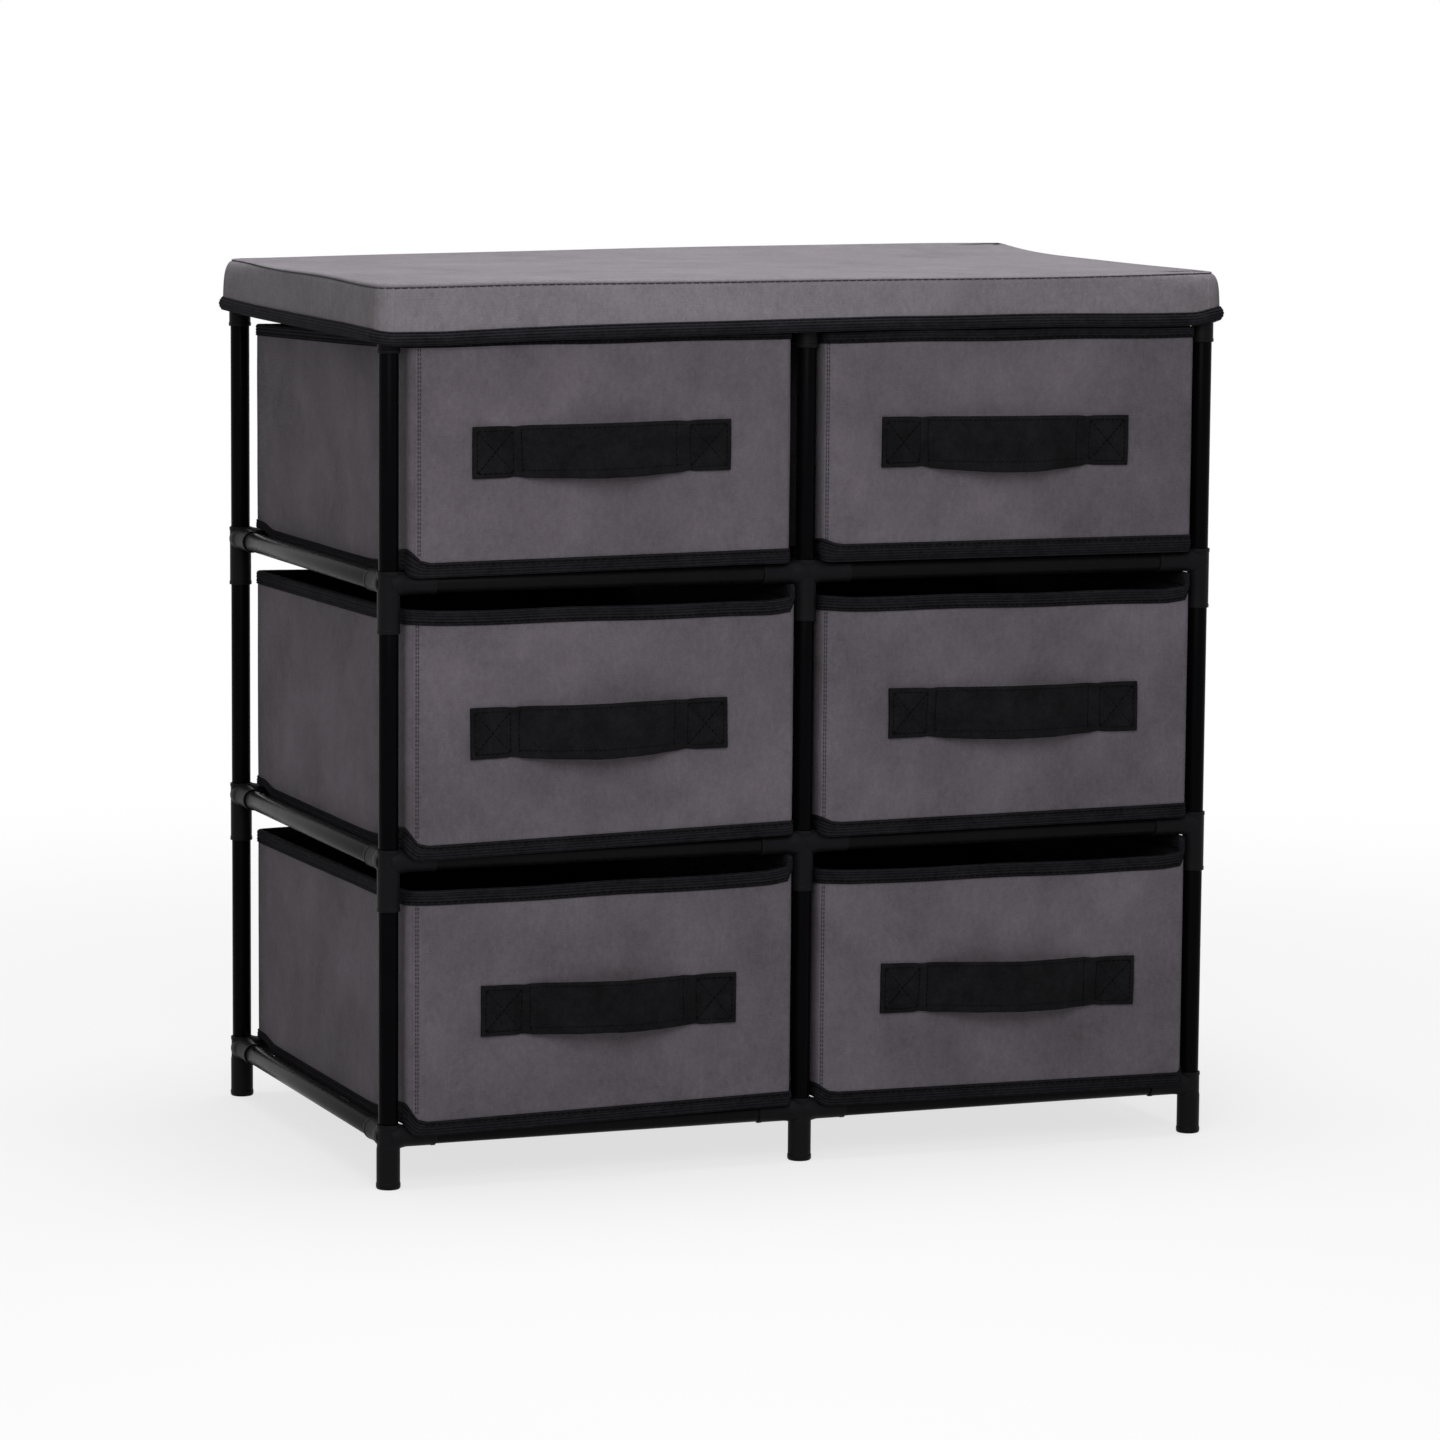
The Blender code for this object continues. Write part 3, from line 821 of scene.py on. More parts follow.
def sew(name, rows, material, body, slot):
    """Makes one piece of several rows of stitches, each stitch closed at both ends."""
    points, faces = merge(rows)
    size = len(STITCH_SECTION) * STITCH_SIDES
    first = np.arange(STITCH_SIDES)
    ends = [start + ring for start in range(0, len(points), size) for ring in (first, size - 1 - first)]
    settle(mesh_object(name, points, [*faces, *ends], material), body, slot)


# Drawers

class Drawer:
    """One drawer's places, and how its cloth departs from the flat."""

    def __init__(self, bay, row):
        self.bay, self.row = bay, row
        self.name = f"drawer_{bay}_{row}"
        self.shell = f"{self.name}_shell"
        self.centre = middle_of(self.shell)
        half_x, half_y = (side - BINDING for side in half_of(self.shell).xy)
        self.floor = LEVEL_Z[DRAWER_ROWS.index(row) + 1] + FLOOR_TO_AXIS
        self.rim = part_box(f"{self.name}_top_tape")[1].z
        radii = (FOLDED_CORNER, SOFT_CORNER, FOLDED_CORNER, FOLDED_CORNER)
        self.outline = Outline(self.centre, half_x, half_y, radii)
        self.from_left = self.outline.local[:, 0] + half_x
        self.from_right = half_x - self.outline.local[:, 0]
        self.from_front = self.outline.local[:, 1] + half_y
        drawn_left, drawn_right = FRONT_PINCH.get((bay, row), (0.0, 0.0))
        drawn = self.across((drawn_left, -drawn_right)) * fade(self.from_front, PINCH_DEPTH)
        self.outline.local[:, 0] += drawn
        self.rim_rise, self.tape_rise, self.hem_rise = (
            self.across(pair) for pair in DRAWER_TAPES[(bay, row)])
        self.phase = 1.7 * DRAWER_ROWS.index(row) + 0.9 * BAYS.index(bay)

    def across(self, pair):
        """Gives values that run evenly from the left one to the right one."""
        return pair[0] + (pair[1] - pair[0]) * self.from_left / (2 * self.outline.half_x)

    def height_share(self, z):
        return np.clip((z - self.floor) / (self.rim - self.floor), 0, 1)

    def waves(self, place, table):
        """Gives waves about 1, with this drawer's own phase, along a place."""
        return 1 + sum(
            high * np.sin(turns * place + way * self.phase) for high, turns, way in table)

    def bulge(self, z):
        """Gives how far the cloth stands out from the outline, all round, at height z."""
        o = self.outline
        x, y = o.local[:, 0] / o.half_x, o.local[:, 1] / o.half_y
        front, rear = (np.clip(way * o.normals[:, 1], 0, 1) for way in (-1, 1))
        side = np.abs(o.normals[:, 0])
        height = self.height_share(z)
        belly = np.sin(math.pi * height)
        ends = (front + 0.5 * rear) * FRONT_BULGE * (1 - x ** 4) * self.waves(x, FRONT_WAVES)
        sides = side * SIDE_BULGE * (1 - y ** 12) * self.waves(y, SIDE_WAVES)
        calm = front * (1 - x ** 8) + 0.6 * side * (1 - y ** 8)
        along = np.where(front > side, o.local[:, 0], o.local[:, 1])
        dents = sum(
            deep * np.sin(2 * math.pi * (along / wide + z / tall) + phase + self.phase)
            for deep, wide, tall, phase in DENTS)
        bulges = ends * (0.7 * belly + 0.3 * height) + sides * (0.5 + 0.5 * belly)
        return bulges + dents * calm * belly

    def rise(self, z):
        """Gives how far the cloth at height z stands above its plain place, all round."""
        back = np.clip(self.from_front / (2 * self.outline.half_y), 0, 1)
        rise = self.rim_rise - REAR_DROP[self.row] * back
        rise = rise + RIM_WAVE * np.sin(self.from_left * RIM_WAVE_TURNS + self.phase)
        if self.row != "top":
            corner = fade(self.from_front, CORNER_RISE_DEPTH)
            rise = rise + LEFT_CORNER_RISE * corner * fade(self.from_left, LEFT_CORNER_WIDTH)
            rise = rise + RIGHT_CORNER_RISE * corner * fade(self.from_right, RIGHT_CORNER_WIDTH)
            wall = np.clip(1 - self.from_right / FOLDED_CORNER, 0, 1)
            rise = rise + RIGHT_WALL_RISE * wall * fade(back - RIGHT_WALL_PEAK, RIGHT_WALL_REACH)
            rise = np.minimum(rise, RIM_ROOM)
        return rise * self.height_share(z) ** 2


def make_walls(d):
    """Makes each wall of two layers: the cloth outside and the lining inside."""
    z = np.linspace(d.floor + COVERED_EDGE, d.rim - COVERED_EDGE, WALL_STEPS)
    z = np.concatenate([z, z[::-1]])[:, None]
    layers = (("skin", 0.0, -CLOTH, DRAWER_CLOTH), ("lining", -CLOTH, -WALL, LINING))
    for name, outer, inner, cloth in layers:
        out = np.repeat((outer, inner), WALL_STEPS)[:, None] + d.bulge(z)
        piece = sweep(f"{d.name}_{name}", d.outline, out, z + d.rise(z), cloth)
        settle(piece, d.name, "grey_fabric", d.shell)


def slab_object(name, outline, inset, low, high, material, edge):
    """Makes a slab inside an outline. Its small middle rings are closed by one face each."""
    half = np.array([outline.half_x, outline.half_y])
    rows = [(share, 0.0, low) for share in SLAB_RINGS]
    rows += [(1.0, -edge, low), (1.0, -edge / 4, low + edge / 4), (1.0, 0.0, low + edge)]
    rows += [(1.0, 0.0, high - edge), (1.0, -edge / 4, high - edge / 4), (1.0, -edge, high)]
    rows += [(share, 0.0, high) for share in SLAB_RINGS[::-1]]
    rings = []
    for share, out, z in rows[::-1]:
        flat = outline.local * share + outline.normals * (out - inset * share)
        flat = np.clip(flat, -half, half) + outline.centre[:2]
        rings.append(np.column_stack([flat, np.full(len(flat), z)]))
    points, faces, _ = closed_grid(np.stack(rings, 1))
    return mesh_object(name, points, faces, material, flat_uv(points, faces))


def make_floor(d):
    floor = slab_object(
        f"{d.name}_floor", d.outline, BOARD_PLAY, d.floor, d.floor + WALL, LINING, FLOOR_EDGE)
    settle(floor, d.name, "grey_fabric", d.shell)
    node = f"{d.name}_base_board"
    low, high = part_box(node)
    board = slab_object(
        f"{d.name}_board", d.outline, WALL + BOARD_PLAY, low.z, high.z, BOARD_CLOTH, BOARD_EDGE)
    settle(board, d.name, "grey_board", node)


def binding_section(rim):
    """Gives the tape's section where it is folded over the rim, ribbed on both legs."""
    outer, inner = BINDING + GAP, -WALL - BINDING - GAP
    middle, radius = (outer + inner) / 2, (outer - inner) / 2
    low = rim - TOP_BINDING
    z = np.linspace(low + 0.0006, rim - radius, 15)
    rib = TOP_BINDING_RIB * np.cos((z - low) * 2 * math.pi / TOP_BINDING_PITCH)
    turns = np.linspace(0, math.pi, 9)[1:-1]
    return np.array([
        (GAP, low), (outer - GAP, low - GAP), (outer + 2 * GAP, low + 3 * GAP),
        *zip(outer + rib, z),
        *zip(middle + radius * np.cos(turns), rim - radius + radius * np.sin(turns)),
        *zip((inner - rib)[::-1], z[::-1]),
        (inner - 2 * GAP, low + 3 * GAP), (inner + GAP, low - GAP), (-WALL - GAP, low),
        (-WALL - GAP, rim - TOP_BINDING_FOLD), (GAP, rim - TOP_BINDING_FOLD)])


def tape_place(d, out, z):
    """Gives out and z on the top tape, whose lower edge is sewn a little unevenly."""
    share = np.clip((d.rim - z) / TOP_BINDING, 0, 1)
    uneven = (d.tape_rise - d.rim_rise) * np.exp(-d.from_front / TOP_BINDING_UNEVEN_DEPTH)
    return out + d.bulge(z), z + d.rise(z) + uneven * share


def make_top_binding(d):
    out, z = binding_section(d.rim).T[:, :, None]
    tape = sweep(f"{d.name}_binding", d.outline, *tape_place(d, out, z), TAPE)
    settle(tape, d.name, "black_tape", f"{d.name}_top_tape")
    z = np.array([[d.rim - TOP_BINDING + TOP_BINDING_STITCHES]])
    rows = []
    for face, way in ((BINDING, 1), (-WALL - BINDING, -1)):
        line = d.outline.place(*tape_place(d, face + way * STITCH_LIFT, z))[0]
        rows.append(stitch_row(line, d.outline.facing * way, closed=True))
    sew(f"{d.name}_binding_stitches", rows, BLACK_THREAD, d.name, "black_tape")


def hem_edges(d):
    """Gives the heights of the hem's lower and upper edge, all round."""
    o = d.outline
    front = np.clip(-o.normals[:, 1], 0, 1)
    corner = np.clip(1 - d.from_left / HEM_CORNER_WIDTH, 0, 1) * fade(d.from_front, HEM_CORNER_DEPTH)
    level = np.where(d.hem_rise < 0, front ** 3, np.exp(-d.from_front / HEM_UNEVEN_DEPTH))
    sewn = d.hem_rise * level
    between = smooth((HEM_SAG_START - np.abs(o.local[:, 1])) / HEM_SAG_RAMP)
    sag = HEM_SIDE_SAG * between * np.abs(o.normals[:, 0])
    low = d.floor + HEM_SIDE_LOW - (HEM_SIDE_LOW + HEM_LIP) * np.sqrt(front) + sewn - sag
    high = d.floor + HEM_TOP + HEM_CORNER_RISE[d.bay] * corner + sewn - 0.6 * sag
    return low, high


def make_bottom_hem(d):
    """Makes the tape round the floor: a lip at the front, sagging between the rails."""
    o = d.outline
    front = np.clip(-o.normals[:, 1], 0, 1)
    low, high = hem_edges(d)
    outer = BINDING + GAP
    rows = [
        (GAP, np.minimum(low, d.floor - HEM_LIP_FOLD * front)),
        (outer - 2 * GAP, low - 2 * GAP), (outer + 2 * GAP, low + 4 * GAP)]
    for share in np.linspace(0.0, 1.0, 13)[1:-1]:
        rib = 0.00012 + HEM_RIB * math.cos(share * HEM_RIBS * 2 * math.pi)
        groove = HEM_GROOVE * fade(share - 0.75, 0.07)
        rows.append((outer + rib - groove, low + (high - low) * share))
    rows += [(outer + GAP, high - 4 * GAP), (outer - 2 * GAP, high), (GAP, high - GAP)]
    z = np.stack([z for _, z in rows])
    out = np.array([out for out, _ in rows])[:, None] + d.bulge(z)
    settle(sweep(f"{d.name}_hem", o, out, z, TAPE), d.name, "black_tape", d.shell)
    line_z = (high - HEM_STITCHES)[None, :]
    line = o.place(BINDING + d.bulge(line_z), line_z)[0]
    rows = [stitch_row(line, o.facing, closed=True)]
    sew(f"{d.name}_hem_stitches", rows, BLACK_THREAD, d.name, "black_tape")


def front_place(d, x, z, out):
    """Gives the points out from the drawer's front at x and z, measured from its middle."""
    o = d.outline
    faces_front = o.normals[:, 1] < -0.999
    order = np.argsort(o.local[faces_front][:, 0])
    xs = o.local[faces_front][order, 0]
    stand = [
        np.interp(px, xs, d.bulge(pz)[faces_front][order]) for px, pz in zip(x.ravel(), z.ravel())]
    y = d.centre.y - o.half_y - np.reshape(stand, x.shape) - out
    return np.stack([d.centre.x + x, y, z], -1)


def fold_object(name, rows, material):
    """Makes a sewn fold, closed at both ends, from one row of points for each section point."""
    points, faces, _ = closed_grid(np.stack(rows))
    return mesh_object(name, points, faces, material, flat_uv(points, faces, (0, 2)))


def upright_line(d, s, heights, lift=0.0):
    """Gives the points up the cloth at a length s round the outline, and the normals there."""
    o = d.outline
    at = o.s[:-1]
    flat, normal = (
        np.array([np.interp(s, at, values[:, k]) for k in (0, 1)])
        for values in (o.local, o.normals))
    normal = unit(normal)
    out = np.array([np.interp(s, at, d.bulge(z)) for z in heights]) + lift
    places = o.centre[:2] + flat + out[:, None] * normal
    normals = np.tile(np.append(normal, 0.0), (len(heights), 1))
    return np.column_stack([places, heights]), normals


def make_front_seam(d):
    """Makes the upright fold where the front is sewn to the soft corner, and its stitches."""
    faces_front = d.outline.normals[:, 1] < -0.4
    away = np.abs(d.from_left - SEAM_INSET[d.bay])
    column = np.argmin(np.where(faces_front, away, 1.0))
    s = d.outline.s[column]
    low, high = hem_edges(d)[1][column] - 0.001, d.rim - TOP_BINDING + 0.004
    heights = np.linspace(low, high, 24)
    rows = [upright_line(d, s + side, heights, lift)[0] for side, lift in FOLD_SECTION]
    settle(fold_object(f"{d.name}_seam_fold", rows, DRAWER_CLOTH), d.name, "grey_fabric")
    rows = [
        stitch_row(*upright_line(d, s + side, heights), pitch=SEAM_PITCH, size=SEAM_THREAD)
        for side in SEAM_STITCHES]
    sew(f"{d.name}_seam_stitches", rows, GREY_THREAD, d.name, "grey_fabric")


# Straps

class Strap:
    """A drawer's strap: sewn flat at both ends, bowed out between them."""

    def __init__(self, d):
        self.d = d
        shift_x, shift_z, turn, extra, self.sag = STRAPS[(d.bay, d.row)]
        middle = middle_of(f"{d.name}_handle")
        self.x = middle.x - d.centre.x + shift_x
        self.z = middle.z + shift_z
        self.turn = math.radians(turn)
        self.half = (STRAP_LENGTH + extra) / 2
        self.free = self.half - STRAP_PATCH
        self.seams = [
            way * (self.free + away) for way, seams in STRAP_SEAMS.items() for away in seams]

    def place(self, along, across, lift):
        """Gives points on the strap: along from -half to half, across from 0 (top) to 1."""
        along, across = np.broadcast_arrays(along, across)
        reach = np.clip(np.abs(along) / self.free, 0, 1)
        bow = 0.45 * (1 - reach ** 2) + 0.55 * (np.cos(math.pi * reach) + 1) / 2
        pinch = STRAP_PINCH * fade(np.abs(along) - self.free, STRAP_PINCH_WIDTH)
        low = np.clip(1 - (1 - across) / STRAP_LOW_PART, 0, 1)
        up = STRAP_WIDTH / 2 - pinch - (STRAP_WIDTH - 2 * pinch) * across
        up = up - self.sag * bow ** 0.7 * low + STRAP_TOP_RISE * bow * (1 - across)
        crease = self.d.waves(along, STRAP_CREASE_WAVES) - 1
        out = lift + STRAP_BOW * bow * (1 + 0.10 * across) + STRAP_LOW_LIFT * low * bow
        out = out + STRAP_CREASE * crease * np.sqrt(bow) * (0.25 + 0.75 * across)
        out = out + STRAP_TURNED_RISE * (np.abs(along) > self.half - STRAP_TURNED_END)
        for seam in self.seams:
            out = out - STRAP_GROOVE * fade(along - seam, STRAP_GROOVE_WIDTH)
        x = self.x + along * math.cos(self.turn) - up * math.sin(self.turn)
        z = self.z + along * math.sin(self.turn) + up * math.cos(self.turn)
        return front_place(self.d, x, z, out)


def make_strap(d):
    strap = Strap(d)
    fine = np.linspace(-strap.free, strap.free, 35)
    patch = np.array([0.0035, 0.0086, 0.0092, 0.016, 0.022])
    steps = STRAP_GROOVE_WIDTH * np.array([-1.5, -0.7, 0, 0.7, 1.5])
    grooves = np.add.outer(strap.seams, steps).ravel()
    end = np.append(strap.half - patch, strap.half)
    along = np.unique(np.round(np.concatenate([-end, grooves, fine, end]), 6))
    across = np.array([0.0, 0.03, 0.07, 0.2, 0.4, 0.6, 0.8, 0.88, 0.94, 0.98, 1.0])
    edge = 0.25 * np.array([1.0, 0.35, 0, 0, 0, 0, 0, 0, 0, 0.35, 1.0])
    outer_lift = STRAP_REST + STRAP_THICKNESS * (1 - edge)
    inner_lift = STRAP_REST + STRAP_THICKNESS * edge * 0.5
    front, back = (
        [strap.place(along, a, lift) for a, lift in zip(across, lifts)]
        for lifts in (outer_lift, inner_lift))
    points, faces, at = closed_grid(np.stack(front[::-1] + back))
    lengths = along + strap.half
    heights = np.concatenate([across[::-1], across, across[-1:]]) * STRAP_WIDTH
    uv = np.stack([lengths[at[:, 1]], heights[at[:, 0]]], -1)
    end_uv = np.zeros((4 * len(across), 2))
    piece = mesh_object(f"{d.name}_strap", points, faces, WEBBING, np.vstack([uv, end_uv]))
    settle(piece, d.name, "black_webbing", f"{d.name}_handle")
    rows = strap_stitches(strap, STRAP_REST + STRAP_THICKNESS)
    sew(f"{d.name}_strap_stitches", rows, BLACK_THREAD, d.name, "black_webbing")


def strap_stitches(strap, lift):
    """Gives the strap's sewing: a box with a cross on each patch, and the long edges."""
    def line(start, end, count=24):
        along, across = np.linspace(start, end, count).T
        points = strap.place(along, across, lift)
        aside = strap.place(along, across + 0.01, lift) - points
        normals = np.cross(np.gradient(points, axis=0), aside)
        return stitch_row(points, normals, pitch=STRAP_PITCH, size=STRAP_THREAD)

    top, low = STRAP_BOX
    rows = []
    for way, (inner, second) in zip((-1, 1), (strap.seams[:2], strap.seams[2:])):
        end = way * (strap.half - STRAP_END_SEAM)
        corners = [(end, top), (inner, top), (inner, low), (end, low)]
        rows += [line(a, b) for a, b in zip(corners, corners[1:] + corners[:1])]
        rows += [line(corners[0], corners[2]), line(corners[1], corners[3])]
        rows.append(line((second, top), (second, low)))
    reach = strap.free - 0.003
    return rows + [line((-reach, across), (reach, across), 60) for across in STRAP_EDGE_SEAMS]


def make_drawers():
    for row in DRAWER_ROWS:
        for bay in BAYS:
            d = Drawer(bay, row)
            make_walls(d)
            make_floor(d)
            make_top_binding(d)
            make_bottom_hem(d)
            make_front_seam(d)
            make_strap(d)


# Lid

class Lid:
    """The lid's places, and how its cloth sags, lifts and flares."""

    def __init__(self):
        low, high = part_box("lid_cover")
        self.centre = (low + high) / 2
        self.half_x, self.half_y = (side - BINDING for side in half_of("lid_cover").xy)
        self.edge = high.z - LID_CROWN
        self.hem = low.z
        self.outline = Outline(
            self.centre, self.half_x, self.half_y, (LID_CORNER,) * 4, step=LID_STEP)
        self.x, self.y = self.outline.local.T
        self.top = self.edge + self.top_lift(self.x, self.y)
        self.low = self.hem + self.hem_lift()
        self.seam = self.top - self.seam_drop()
        self.flare = self.hem_flare()
        self.round = np.maximum(ramp(self.x, *LID_ROUND_SPAN), self.corner(-1, 1, LID_ROUND_REACH))

    def corner(self, way_x, way_y, reach):
        """Gives 1 at a corner of the outline, fading to 0 at a distance from it."""
        away = np.hypot(self.x - way_x * self.half_x, self.y - way_y * self.half_y)
        return smooth(1 - away / reach)

    def corners(self, table):
        return sum(size * self.corner(x, y, reach) for x, y, size, reach in table)

    def top_lift(self, x, y):
        """Gives how far the top stands above its plain height: it warps up at the rear."""
        across = np.clip((x / self.half_x + 1) / 2, 0, 1)
        back = np.clip(y / self.half_y, 0, 1) ** 3.3
        lift = (LID_REAR_RISE + LID_REAR_WARP * np.sin(math.pi / 2 * across) ** 1.2) * back
        start, end = LID_RIGHT_SPAN
        right = np.clip((x - start) / (end - start), 0, 1) ** 1.5
        lift = lift + right * (1 - back) * (LID_RIGHT_RISE + LID_RIGHT_TILT * y / self.half_y)
        from_corner = np.hypot(x + self.half_x, y + self.half_y)
        lift = lift - LID_LEFT_DIP * smooth(1 - from_corner / LID_LEFT_DIP_REACH)
        return lift + LID_RIPPLE * np.sin(x * 31 + 0.6) * np.sin(y * 38 + 0.3)

    def hem_lift(self):
        """Gives how far the skirt's lower edge stands above its plain height."""
        x, y = self.x, self.y
        facing_x, facing_y = self.outline.normals.T ** 2
        sagging = np.exp(-np.clip(x - LID_FRONT_SAG_START, 0, None) / LID_FRONT_SAG_FADE)
        sagging = sagging * ramp(x, *LID_FRONT_SAG_SPAN)
        left = LID_LEFT_REAR_RISE * np.clip(y / LID_LEFT_REAR_REACH, 0, 1) - LID_LEFT_SAG
        left = left - LID_LEFT_FRONT_SAG * ramp(y, *LID_LEFT_FRONT_SPAN)
        lift = facing_y * np.where(y < 0, -LID_FRONT_SAG * sagging, 0.0)
        lift = lift + facing_x * np.where(x < 0, left, 0.0)
        calm = ramp(x, *LID_CALM_SPAN) * facing_y + facing_x
        ripple = LID_RIPPLE * (1 + np.sin(x * 44 + 1.1) * np.cos(y * 36)) * calm
        return lift + self.corners(LID_HEM_CORNERS) + ripple

    def hem_flare(self):
        """Gives how far the hem stands out: it hangs before the drawers at the front left."""
        facing_front = np.clip(-self.outline.normals[:, 1], 0, 1)
        front = facing_front * ramp(self.x, *LID_FLARE_SPAN)
        flare = LID_FLARE + (LID_FRONT_FLARE - LID_FLARE) * front
        ripple = LID_FLARE_RIPPLE * np.sin(self.x * 27 + 2.0) * np.cos(self.y * 41 + 0.5)
        return flare + self.corners(LID_FLARE_CORNERS) + ripple

    def seam_drop(self):
        """Gives how far the seam lies below the top's edge: most at the front left."""
        left = np.clip((LID_SEAM_START - self.x) / LID_SEAM_REACH, 0, 1)
        front = np.clip(1 - (self.y + self.half_y) / (LID_SEAM_DEPTH * self.half_y), 0, 1)
        return LID_FAR_SEAM_DROP + (LID_FRONT_SEAM_DROP - LID_FAR_SEAM_DROP) * left * front

    def hang(self, share):
        """Gives how far the skirt hangs out at a share of its height from the hem."""
        return self.flare * (1 - share) ** 1.2

    def skirt_row(self, share, out=0.0):
        """Gives the points on the skirt at a share of its height, moved out if asked."""
        wave = LID_WAVE * math.sin(math.pi * share) * np.cos(self.outline.s[:-1] * 23)
        drawn_in = LID_GROOVE * share ** 60 + LID_EDGE_ROUND * self.round * share ** 8
        z = self.low + (self.seam - self.low) * share
        return self.outline.place(self.hang(share) + wave - drawn_in + out, z)


def lid_skin(lid):
    """Gives rows of points over the cover's outer face, from the hem to the top's middle."""
    rows = [lid.skirt_row(share) for share in SKIRT_SHARES]
    edge = LID_EDGE_ROUND * lid.round
    for share, inward in BAND:
        out = -inward * (1 + 0.5 * lid.round) - edge
        rows.append(lid.outline.place(out, lid.seam + (lid.top - lid.seam) * share))
    rows.append(lid.outline.place(-TOP_EDGE - 1.7 * edge, lid.top))
    for share in TOP_RINGS:
        x, y = lid.x * share, lid.y * share
        crown = LID_CROWN * (1 - share ** 2.6)
        height = lid.edge + lid.top_lift(x, y) * min(1.0, 1.4 * share) + crown
        rows.append(np.stack([x + lid.centre.x, y + lid.centre.y, height], -1))
    return np.stack(rows)


def faces_up(points, faces):
    """Gives whether each face is level, more or less."""
    a, b, c = (points[faces[:, k]] for k in range(3))
    normal = np.cross(b - a, c - a)
    return np.abs(normal[:, 2]) > 0.7 * np.linalg.norm(normal, axis=1)


def make_lid_cover(lid):
    """Makes the cover with its thickness. The UV of its level faces is seen from above."""
    skin = lid_skin(lid)
    inward = np.concatenate([
        np.ones(len(SKIRT_SHARES)), np.linspace(1.0, 0.2, len(BAND)), np.zeros(1 + len(TOP_RINGS))])
    under = skin - lid.outline.facing * inward[:, None, None] * LID_CLOTH
    under[:, :, 2] -= (1 - inward[:, None]) * LID_CLOTH
    grid = np.concatenate([skin, under[::-1]])
    rows, columns = grid.shape[:2]
    faces, at = grid_faces(rows, columns, True, True)
    middle, ring = len(skin), np.arange(columns)
    keep = at[::4, 0] != middle - 1
    faces = faces[keep]
    caps = [(middle - 1) * columns + ring, middle * columns + ring[::-1]]
    points = grid.reshape(-1, 3)
    uv = lid.outline.uv(grid, at)[np.repeat(keep, 4)]
    level = np.repeat(faces_up(points, faces), 4)
    uv = np.where(level[:, None], flat_uv(points, faces), uv)
    piece = mesh_object(
        "lid_cover_cloth", points, [*faces, *caps], LID_TOP_CLOTH,
        np.vstack([uv, flat_uv(points, caps)]))
    settle(piece, "lid", "grey_fabric", "lid_cover")


def make_lid_sewing(lid):
    """Makes the stitches under the top's edge."""
    out = LID_STITCH_LIFT / 2 - LID_GROOVE - LID_EDGE_ROUND * lid.round
    line = lid.outline.place(out, lid.seam - GAP)
    row = stitch_row(
        line, lid.outline.facing, closed=True, pitch=LID_SEAM_PITCH, size=LID_SEAM_THREAD)
    sew("lid_seam_stitches", [row], GREY_THREAD, "lid", "grey_fabric")


def make_lid_corner_seams(lid):
    """Makes the upright folds by the skirt's four corners."""
    shares = np.linspace(LID_HEM / (lid.edge - lid.hem), 0.96, 14)
    tangents = lid.outline.facing[:, [1, 0, 2]] * (-1, 1, 1)
    for sign_x, sign_y in CORNER_SIGNS:
        flat = lid.outline.normals[:, 1] * sign_y > 0.999
        away = np.abs(lid.x - sign_x * (lid.half_x - LID_CORNER_SEAM))
        column = np.argmin(np.where(flat, away, 1.0))
        rows = [
            np.array([lid.skirt_row(share, lift)[column] for share in shares])
            + side * tangents[column] for side, lift in FOLD_SECTION]
        name = f"lid_corner_fold_{ROWS[sign_y > 0]}_{BAYS[sign_x > 0]}"
        settle(fold_object(name, rows, LID_TOP_CLOTH), "lid", "grey_fabric")


def lid_tape(lid, name, section):
    """Sweeps a tape section round the skirt, out and z for each of its points."""
    out = np.stack([np.broadcast_to(out, lid.x.shape) for out, _ in section])
    z = np.stack([z for _, z in section])
    share = np.clip((z - lid.low) / (lid.seam - lid.low), 0, 1)
    tape = sweep(name, lid.outline, out + lid.hang(share), z, LID_TAPE)
    settle(tape, "lid", "black_tape", "lid_cover")


def make_lid_hem(lid):
    """Makes the black tape on both faces of the skirt's lower edge, ribbed and twisted."""
    lip = 2 * GAP
    low, high = lid.low, lid.low + LID_HEM
    twist = LID_HEM_RIB * np.sin(lid.outline.s[:-1] * 2 * math.pi / LID_HEM_TWIST)
    section = [(GAP, low), (BINDING, low - lip)]
    for share in np.linspace(0.06, 0.94, 15):
        belly = math.sin(math.pi * share)
        rib = LID_HEM_RIB * math.cos(share * LID_HEM_RIBS * 2 * math.pi)
        ridge = LID_HEM_RISE + LID_HEM_BELLY * belly + rib
        section.append((BINDING + ridge + twist * belly, low + LID_HEM * share))
    section += [(BINDING, high + GAP), (GAP, high)]
    lid_tape(lid, "lid_hem_tape", section)
    face = -LID_CLOTH - GAP
    inner = [(face, high), (face - BINDING, high - lip), (face - BINDING, low), (face, low - lip)]
    lid_tape(lid, "lid_hem_tape_inner", inner)
    sewn = LID_HEM_STITCHES * LID_HEM
    share = sewn / (lid.seam - lid.low)
    line = lid.outline.place(BINDING + LID_STITCH_LIFT + lid.hang(share), low + sewn)
    row = stitch_row(line, lid.outline.facing, closed=True)
    sew("lid_hem_stitches", [row], BLACK_THREAD, "lid", "black_tape")


def make_lid_board(lid):
    node = "lid_padded_board"
    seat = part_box(node)[0].z
    board = slab_object(
        "lid_board", lid.outline, LID_BOARD_PLAY, seat, seat + LID_BOARD, HARDBOARD, LID_BOARD_EDGE)
    settle(board, "lid", "padded_board", node)


def make_lid():
    lid = Lid()
    make_lid_cover(lid)
    make_lid_sewing(lid)
    make_lid_corner_seams(lid)
    make_lid_hem(lid)
    make_lid_board(lid)


# Stage

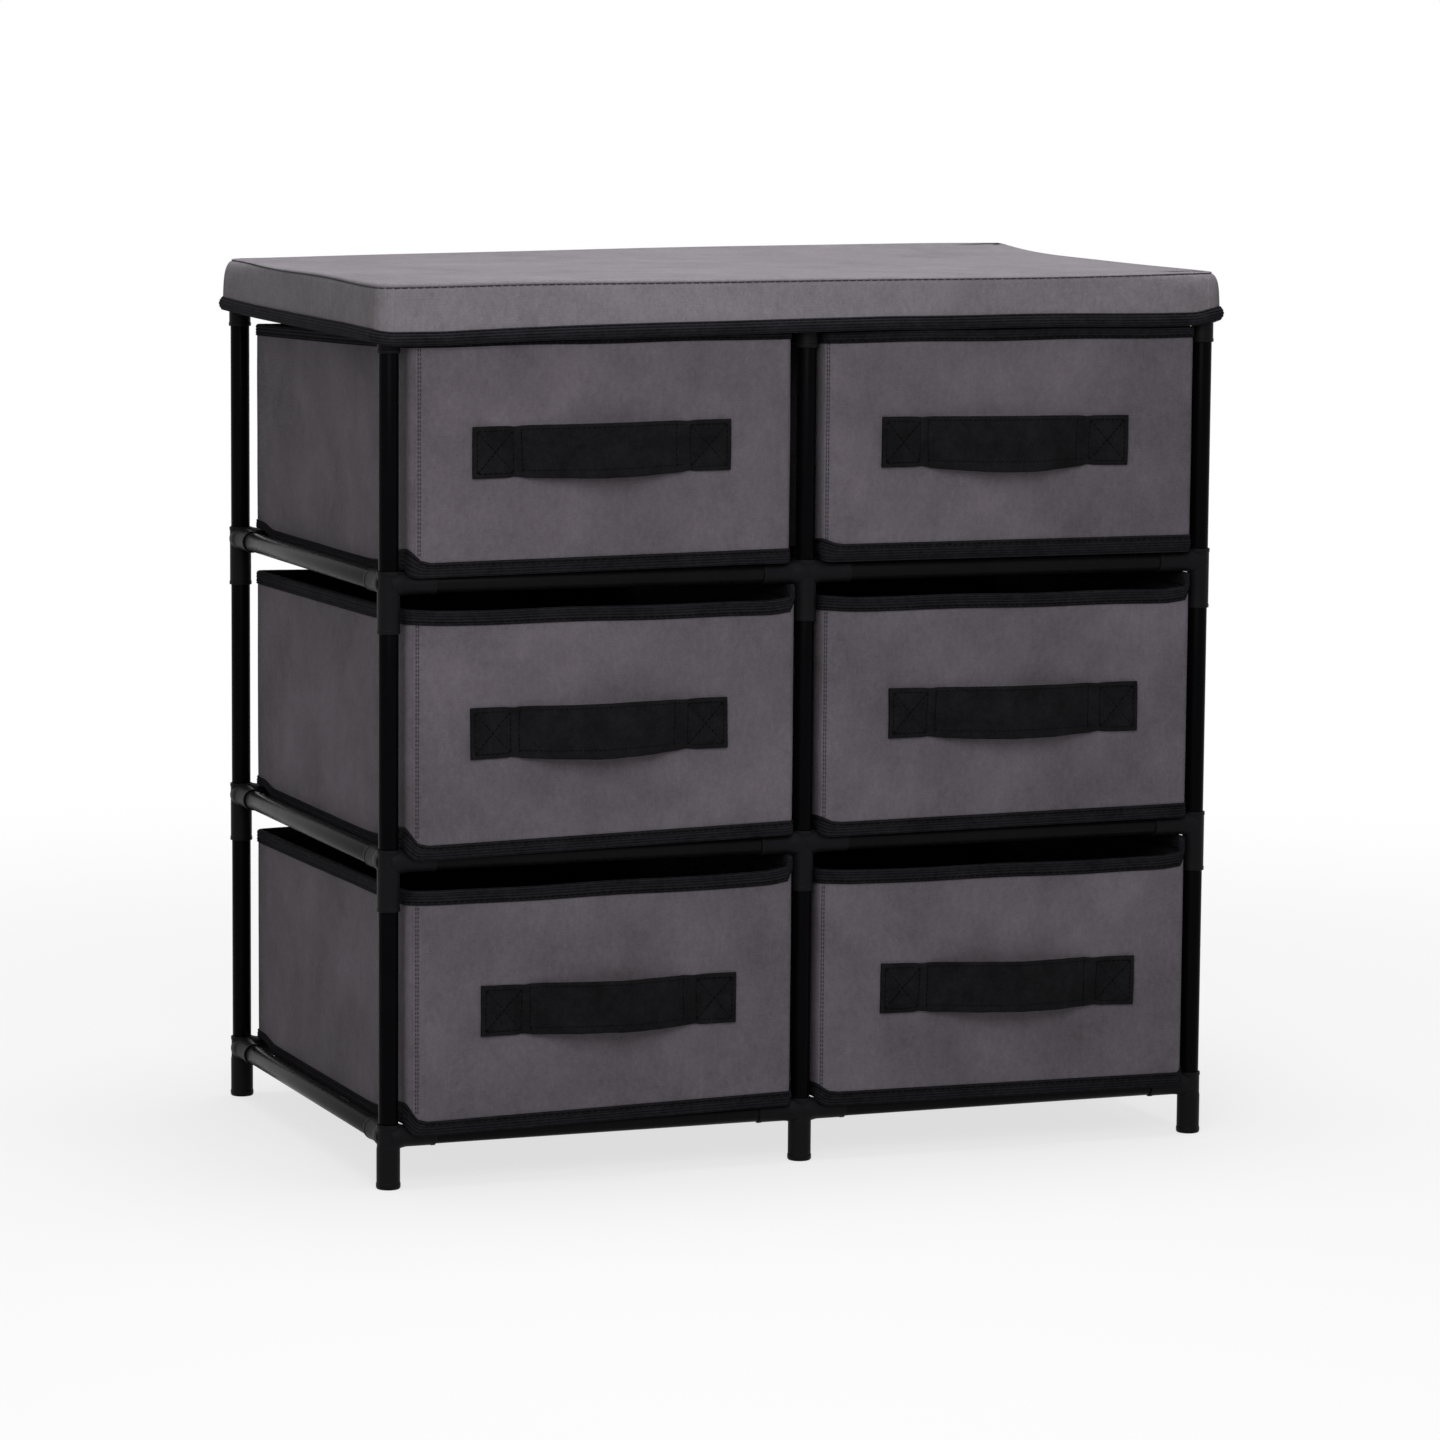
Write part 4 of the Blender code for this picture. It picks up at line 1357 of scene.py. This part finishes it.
def make_floor_plane():
    """Makes a pale floor that keeps the object's shadow and turns white far from it."""
    n = material_nodes("pale_floor")
    lit, near = (
        n.add("ShaderNodeBsdfDiffuse", {"Color": (grey, grey, grey, 1.0)}).outputs[0]
        for grey in (FLOOR_LIT, FLOOR_SEEN))
    away = n.add("ShaderNodeVectorMath", {0: n.object_place()}, operation="LENGTH")
    share = n.contrast(away.outputs["Value"], FLOOR_NEAR, FLOOR_FAR, FLOOR_WHITE, "SMOOTHSTEP")
    white = n.add("ShaderNodeEmission").outputs[0]
    surface = n.mix(n.seen(), lit, n.mix(share, near, white))
    n.fill(n.tree.nodes["Material Output"], {"Surface": surface})
    corners = [(x * FLOOR_HALF, y * FLOOR_HALF, 0) for x, y in CORNER_SIGNS]
    mesh_object("floor", corners, [(0, 1, 2, 3)], n.owner)


def make_world():
    """Makes a world that is white to the camera and soft on the object."""
    n = Nodes(bpy.data.worlds.new("studio"))
    bpy.context.scene.world = n.owner
    strength = n.contrast(n.seen(), 0.0, 1.0, WORLD_LIGHT)
    white = (1.0, 1.0, 1.0, 1.0)
    n.fill(n.tree.nodes["Background"], {"Color": white, "Strength": strength})


def make_lamps():
    for name, (place, size, power) in LAMPS.items():
        lamp = bpy.data.lights.new(name, "AREA")
        lamp.shape = "SQUARE"
        lamp.size = size
        lamp.energy = power
        made = bpy.data.objects.new(name, lamp)
        made.location = place
        aim = Vector(LAMP_AIM) - made.location
        made.rotation_euler = aim.to_track_quat("-Z", "Y").to_euler()
        bpy.context.scene.collection.objects.link(made)


def make_camera():
    camera = bpy.data.cameras.new("camera")
    camera.lens = CAMERA_LENS
    camera.sensor_width = SENSOR
    camera.clip_end = CAMERA_FAR
    made = bpy.data.objects.new("camera", camera)
    yaw, pitch, roll = (math.radians(a) for a in (CAMERA_YAW, CAMERA_PITCH, CAMERA_ROLL))
    turn = (
        Matrix.Rotation(-yaw, 4, "Z") @ Matrix.Rotation(math.pi / 2 + pitch, 4, "X")
        @ Matrix.Rotation(roll, 4, "Z"))
    made.matrix_world = Matrix.Translation(CAMERA_PLACE) @ turn
    bpy.context.scene.collection.objects.link(made)
    bpy.context.scene.camera = made


def main():
    make_level_tubes()
    make_post_tubes()
    make_connectors()
    make_drawers()
    make_lid()
    make_floor_plane()
    make_world()
    make_lamps()
    make_camera()
    bpy.context.scene.view_settings.view_transform = "Standard"


main()
